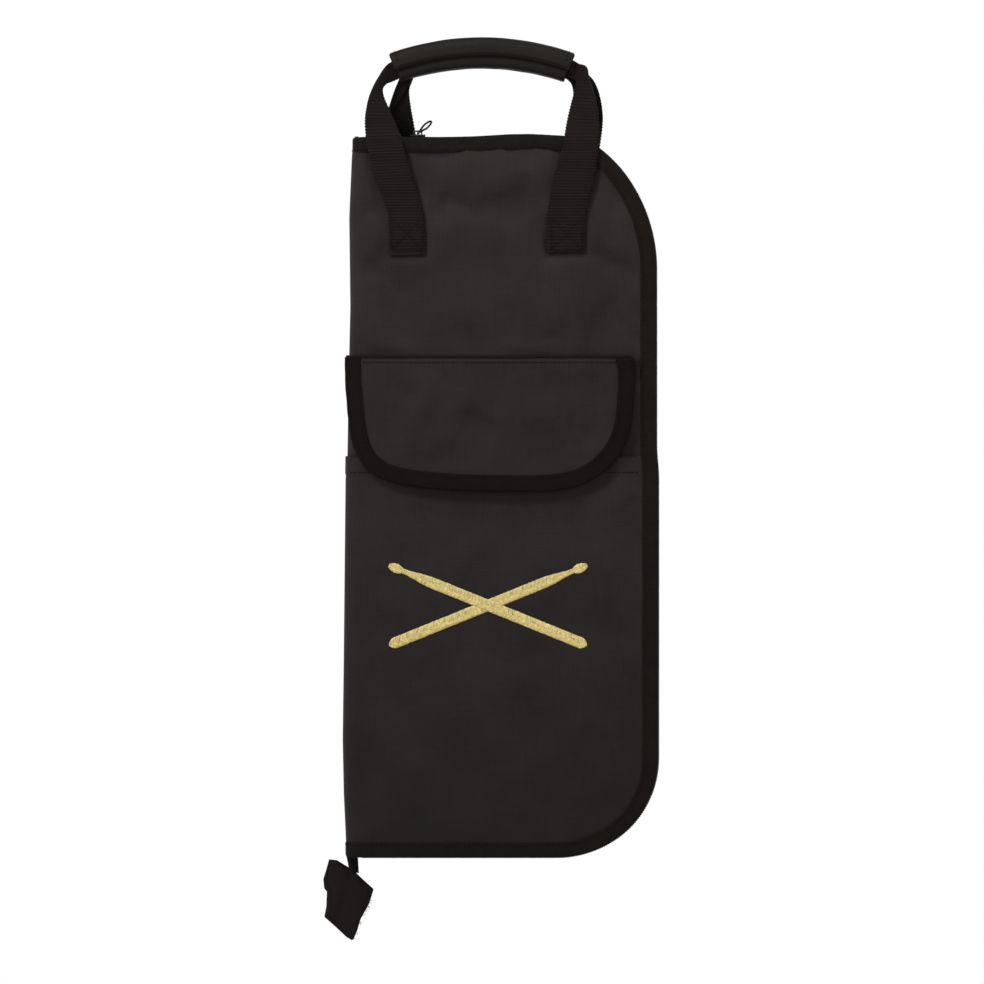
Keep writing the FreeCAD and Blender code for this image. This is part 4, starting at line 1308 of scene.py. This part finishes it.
def wrap_piece(name, where, node, thick, ends, seed, crease, middle_line):
    """A padded strip swept along the grip's arch."""
    line = curve(middle_line, 0.9)
    ahead = unit(np.gradient(line, axis=0))
    aside = pack(-ahead[:, 1], ahead[:, 0])
    count = len(line)
    t = np.linspace(0, 1, count)
    fat = thick / 2 * np.maximum(np.sin(np.clip(np.minimum(t, 1 - t) * count * 0.9 / 1.6, 0, pi / 2)), 0.25)
    stations = np.radians(np.linspace(-ends, ends, 150))
    grids = []
    for sign in (1, -1):
        rows = []
        for angle in stations:
            x = ARCH_R * sin(angle)
            end = min(1.0, (radians(ends) - abs(angle)) * ARCH_R / 1.4)
            puff = 1 + 0.16 * sin(pi * (x + 60) / 120) + 0.10 * noise.noise(Vector((x / 14, seed, 0)))
            swell = np.array([noise.noise(Vector((x / 11, seed + k / 5, 2.0))) for k in range(count)]) * 0.22
            dent = 0.0
            if crease:
                dent = -0.62 * float(hill(x, -6, 1.9) + hill(x, 20.8, 1.9)) * smooth(0.1, 0.4, t)
            body = fat * puff * max(sqrt(max(1 - (1 - end) ** 2, 0)), 0.3)
            offset = aside * (sign * body + (swell + dent if sign > 0 else 0) * end)[:, None]
            section = line + offset
            px, pz = arch(angle, section[:, 1])
            rows.append(pack(px, section[:, 0], pz))
        grids.append(np.array(rows))
    build = Build()
    wide = lengths(line)
    uv = pack(wide[None], (stations * ARCH_R)[:, None])
    build.sheet(grids[0], grids[1], uv)
    pad = build.make(name, LOOKS["wrap"])
    attach(pad, where, "wrap_fabric", node)
    return grids


# Pieces of the grip wrap: name, body or bend, CAD node, thickness, half angle on the arch, seed, creased or not,
# and the section as (y, radial) points.
UPPER_WING = [(6.9, 8.5), (3, 9.2), (-3.5, 9.2), (-6.8, 8.2), (-8.1, 5.2), (-8.25, 1.5), (-8.1, -2.2)]
LOWER_WING = [(6.9, -8.3), (3, -8.7), (-2.6, -8.6), (-4.9, -7.2), (-5.3, -4.6), (-5.3, 0), (-5.3, 3.8)]
WRAP = (
    ("grip_back_pad", "handle", "wrap_back", 2.6, 19.4, 1.0, False, [(5.7, 6.8), (5.9, 3), (5.9, -3), (5.7, -6.8)]),
    ("grip_upper_wing", "upper", "wrap_upper_wing", 2.6, 19.6, 3.0, True, UPPER_WING),
    ("grip_lower_wing", "lower", "wrap_lower_wing", 2.0, 19.3, 5.0, False, LOWER_WING),
)


def make_wrap():
    """The three pads of the grip wrap, with stitches along the upper wing's edges."""
    _, upper, _ = [wrap_piece(*numbers) for numbers in WRAP]
    grid, under = sorted(upper, key=lambda face: face[..., 1].min())
    rows = Build()
    edge = grid[4:-4, -3]
    stitches(rows, edge + np.array([0, -0.05, 0]), FORWARD, 2.8)
    for column in (5, -6):
        line = grid[column, 8:-3]
        stitches(rows, line, unit(line - under[column, 8:-3]), 2.8)
    place(rows, "grip_stitches", "stitch", "upper", "wrap_fabric")


# ---------------------------------------------------------------- hook and loop strips


def make_strips():
    """Pile and hooks on the CAD strips, as many small loops."""
    for node, body, face in (
        ("pocket_loop_strip", "front_cover", -1),
        ("flap_hook_strip", "pocket_flap", 1),
    ):
        low, high = corners(node)
        build = Build()
        for x in np.arange(low[0] + 1, high[0] - 0.6, 1.15):
            for z in np.arange(low[2] + 1, high[2] - 0.8, 1.1):
                base = low[1] if face < 0 else low[1] + 0.75 + (z - low[2]) * FLAP_SLOPE
                jitter = random.uniform(-0.2, 0.2)
                arcs = np.linspace(0, pi, 5)
                points = [(x + jitter + 0.35 * cos(a), base + face * 0.35 * sin(a), z + 0.12 * cos(a)) for a in arcs]
                build.tube(points, 0.11, 4)
        place(build, f"{node}_pile", "stitch", body, "hook_loop")


# ---------------------------------------------------------------- inner stick pocket


def make_stick_pocket():
    """The four stick sleeves inside the back cover, with their bound mouth."""
    left, right = cad("stick_pocket_panel", LOW, X), cad("stick_pocket_panel", HIGH, X)
    low, high = cad("stick_pocket_panel", LOW, Z), cad("stick_pocket_binding", HIGH, Z)
    base = INSIDE - 0.6
    pitch = (right - left) / 4
    columns = 4 * 22 + 1
    x = np.linspace(left, right, columns)[None]
    z = np.linspace(high - 2, low, 120)[:, None]
    across = ((x - left) % pitch) / pitch
    bulge = np.abs(np.sin(pi * across)) ** 0.8
    open_up = smooth(low, low + 40, z)
    soft = 1 + 0.08 * grain(x, z, 30, 3.7) + 0.05 * grain(x, z, 11, 1.3)
    y = base - bulge * (3.5 + 10.5 * open_up) * soft
    points = pack(x, y, z)
    normal = normals(points)
    normal = normal * np.sign(-normal[..., 1:2])
    build = Build()
    uv = pack(x * 1.25, z)
    build.sheet(points, points - normal * 0.7, uv)
    sleeves = build.make("stick_sleeves", LOOKS["lining"])
    attach(sleeves, "back_cover", "lining_fabric", "stick_pocket_panel")

    top = points[0]
    out = normal[0]
    down = np.tile([0.0, 0.0, -1.0], (columns, 1))
    path = top + np.array([0, 0, 0.8])
    sections = np.array([tape_section(0.8, 8.0, tape=0.6) for _ in range(columns)])
    build = Build()
    build.sweep(path, down, out, sections)
    place(build, "stick_mouth_binding", "binding", "back_cover", "binding_tape", "stick_pocket_binding")

    rows = Build()
    stitches(rows, path + down * 6.4 + out * 0.75, out)
    for k in range(5):
        seam_x = left + k * pitch + (0.8 if k == 0 else -0.8 if k == 4 else 0)
        line = np.array([(seam_x, base - 0.35, zz) for zz in np.linspace(high - 10, low + 3, 60)])
        stitches(rows, line, FORWARD)
    line = np.array([(xx, base - 3.6 * abs(sin(pi * (xx - left) / pitch)) ** 0.8 - 0.2, low + 1.4) for xx in x[0]])
    stitches(rows, line, FORWARD)
    place(rows, "stick_pocket_stitches", "stitch", "back_cover", "lining_fabric")


# ---------------------------------------------------------------- zipper end tab

# The tab's left and right edges from its top to its lowest tip, as x and z.
TAB_LEFT = (
    (-102.6, -530.4), (-104.4, -537.0), (-106.4, -543.4), (-105.8, -549.8), (-104.0, -551.8),
    (-104.4, -562.0), (-105.8, -568.8), (-98.4, -575.4), (-91.0, -582.4), (-87.4, -584.6),
)
TAB_RIGHT = (
    (-97.4, -530.9), (-92.4, -534.0), (-86.8, -537.2), (-80.0, -543.6), (-72.6, -550.2),
    (-75.6, -560.0), (-81.4, -570.4), (-83.6, -578.0), (-86.2, -584.2),
)


def make_tail():
    """The folded fabric tab over the zipper's ends, its threads and its neck."""
    rows, columns = 60, 30
    edges = [np.array(line, float) for line in (TAB_LEFT, TAB_RIGHT)]
    start, stop = (even(edge, lengths(edge)[-1] / (rows - 1)) for edge in edges)
    t = np.linspace(0, 1, columns)[None, :, None]
    flat = start[:, None] + (stop - start)[:, None] * t
    x, z = flat[..., 0], flat[..., 1]
    rim = np.minimum(t[..., 0], 1 - t[..., 0]) * np.linalg.norm(stop - start, axis=1)[:, None]
    ends = np.minimum(np.arange(rows), np.arange(rows)[::-1])[:, None] * 1.1
    near = np.minimum(rim, ends)
    fat = 0.45 + 1.15 * np.sqrt(smooth(0, 4.5, near))
    pleat = 0.75 * np.exp(-(((x + 0.42 * z + 319) / 2.2) ** 2)) - 0.6 * np.exp(-(((x - 0.3 * z - 74) / 2.6) ** 2))
    crumple = 0.55 * grain(x, z, 9, 2.0) + 0.25 * grain(x, z, 4, 5.0)
    sway = 1.2 * np.sin((z + 530) / 16.0) + 0.8 * grain(x, z, 20, 8.0)
    front = pack(x, sway - fat - (pleat + crumple) * smooth(0, 3, near), z)
    back = pack(x, sway + fat - 0.4 * crumple, z)
    build = Build()
    build.sheet(front, back, pack(x, z))
    tab = build.make("tail_folded_tab", LOOKS["tab"])
    attach(tab, "zip_tail", "wrap_fabric", "tail_fabric_tab")

    threads = Build()
    for line in (front[3:-3, 3], front[3:-3, -4], front[4, 3:-3]):
        stitches(threads, line + np.array([0, -0.05, 0]), FORWARD, 2.6, 0.7, 0.2)
    for _ in range(18):
        row = random.randint(34, rows - 2)
        root = (front[row, -1] + back[row, -1]) / 2
        reach, drop = random.uniform(0.4, 1.7), random.uniform(-0.3, 1.6)
        bend = random.uniform(-0.8, 0.8)
        line = root + np.array([(-0.8, 0, 0), (reach * 0.5, bend, -drop * 0.3), (reach, bend * 1.5, -drop)])
        threads.tube(curve(line, 0.5), 0.12, 4)
    place(threads, "tail_tab_threads", "stitch", "zip_tail", "wrap_fabric")

    neck_rows, neck_columns = 14, 16
    v = np.linspace(0, 1, neck_rows)[:, None]
    u = np.linspace(0, 1, neck_columns)[None]
    x = -91.6 + 3.0 * v + u * (8.2 - 2.2 * v)
    z = -525.5 - 14.0 * v + 0 * u
    ripple = 0.6 * np.sin(u * 3 * pi + 1.0) * (0.4 + v)
    edge = np.sqrt(np.clip(1 - (2 * u - 1) ** 4, 0, 1))
    front = pack(x, ripple - edge - 0.2, z)
    back = pack(x, ripple + edge + 0.2, z)
    build = Build()
    build.sheet(front, back, pack(x, z))
    place(build, "tail_neck_tape", "stitch", "zip_tail", "zipper_tape", "tail_tape_neck")


# ---------------------------------------------------------------- CAD pieces that stay


def dress_cad():
    """Rounds and paints the CAD nodes whose shape is right."""
    for node in ("zipper_slider", "front_zipper_stop", "back_zipper_stop"):
        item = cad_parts[node]
        item.data.materials.clear()
        item.data.materials.append(LOOKS["metal"])
        bevel = item.modifiers.new("round", "BEVEL")
        bevel.width = 0.32 * MM
        bevel.segments = 3
        bevel.limit_method = "ANGLE"
    for node in ("pocket_loop_strip", "flap_hook_strip", "wrap_hook_strip", "wrap_loop_strip"):
        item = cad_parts[node]
        item.data.materials.clear()
        item.data.materials.append(LOOKS["pile"])


# ---------------------------------------------------------------- the whole bag

for side, name in ((FRONT, "front"), (BACK, "back")):
    make_cover(side, name)
    make_binding(side, name)
    make_zipper(side, name)
make_pull()
pocket = make_pocket()
make_flap()
make_emblem(pocket)
make_handle(FRONT, "front", FRONT_LEFT, FRONT_RIGHT, "front_leg", ["front_handle_webbing", "front_handle_ends"])
make_handle(BACK, "back", REAR_LEFT, REAR_RIGHT, "rear_leg", ["rear_handle_webbing", "rear_handle_ends"])
make_wrap()
make_strips()
make_stick_pocket()
make_tail()
dress_cad()

# ---------------------------------------------------------------- floor, light and camera

scene = bpy.context.scene
scene.view_settings.view_transform = "Standard"
scene.view_settings.look = "None"

bpy.ops.mesh.primitive_circle_add(vertices=96, radius=1.2, fill_type="NGON", location=(0, 0, -0.75))
floor = bpy.context.object
floor.name = "studio_floor"
paper = bpy.data.materials.new("studio_paper")
paper.use_nodes = True
paper.node_tree.nodes["Principled BSDF"].inputs["Base Color"].default_value = (0.8, 0.8, 0.8, 1)
paper.node_tree.nodes["Principled BSDF"].inputs["Roughness"].default_value = 0.9
floor.data.materials.append(paper)

world = bpy.data.worlds.new("studio")
scene.world = world
world.use_nodes = True
sky = world.node_tree
direction = sky.nodes.new("ShaderNodeTexCoord")
height = sky.nodes.new("ShaderNodeSeparateXYZ")
bands = sky.nodes.new("ShaderNodeValToRGB")
remap = sky.nodes.new("ShaderNodeMapRange")
remap.inputs["From Min"].default_value = -1.0
sky.links.new(direction.outputs["Generated"], height.inputs[0])
sky.links.new(height.outputs[2], remap.inputs["Value"])
sky.links.new(remap.outputs[0], bands.inputs["Fac"])
sky.links.new(bands.outputs["Color"], sky.nodes["Background"].inputs["Color"])
bands.color_ramp.elements[0].position = 0.30
bands.color_ramp.elements[0].color = (0.8, 0.8, 0.8, 1)
bands.color_ramp.elements[1].position = 0.76
bands.color_ramp.elements[1].color = (0.30, 0.30, 0.30, 1)
for height_share in (0.41, 0.58):
    bands.color_ramp.elements.new(height_share).color = (1, 1, 1, 1)


def area_light(name, where, aim, size, power):
    lamp = bpy.data.lights.new(name, "AREA")
    lamp.shape = "DISK"
    lamp.size = size
    lamp.energy = power
    item = bpy.data.objects.new(name, lamp)
    item.location = where
    item.rotation_euler = (Vector(aim) - Vector(where)).to_track_quat("-Z", "Y").to_euler()
    scene.collection.objects.link(item)


area_light("key_light", (-0.75, -0.95, 0.75), (0, 0, -0.15), 0.45, 17)
area_light("top_light", (0.55, -0.55, 1.2), (0, 0, -0.1), 0.45, 9)
area_light("rear_fill", (0.6, 2.0, 0.9), (0, 0, -0.3), 1.4, 9)

camera = bpy.data.cameras.new("view")
camera.type = "PERSP"
camera.sensor_width = 36
camera.lens = 164.45
camera_item = bpy.data.objects.new("view", camera)
camera_item.location = (0.0067, -3.015, -0.284)
camera_item.rotation_euler = (pi / 2, 0, 0)
scene.collection.objects.link(camera_item)
scene.camera = camera_item

bpy.context.view_layer.update()
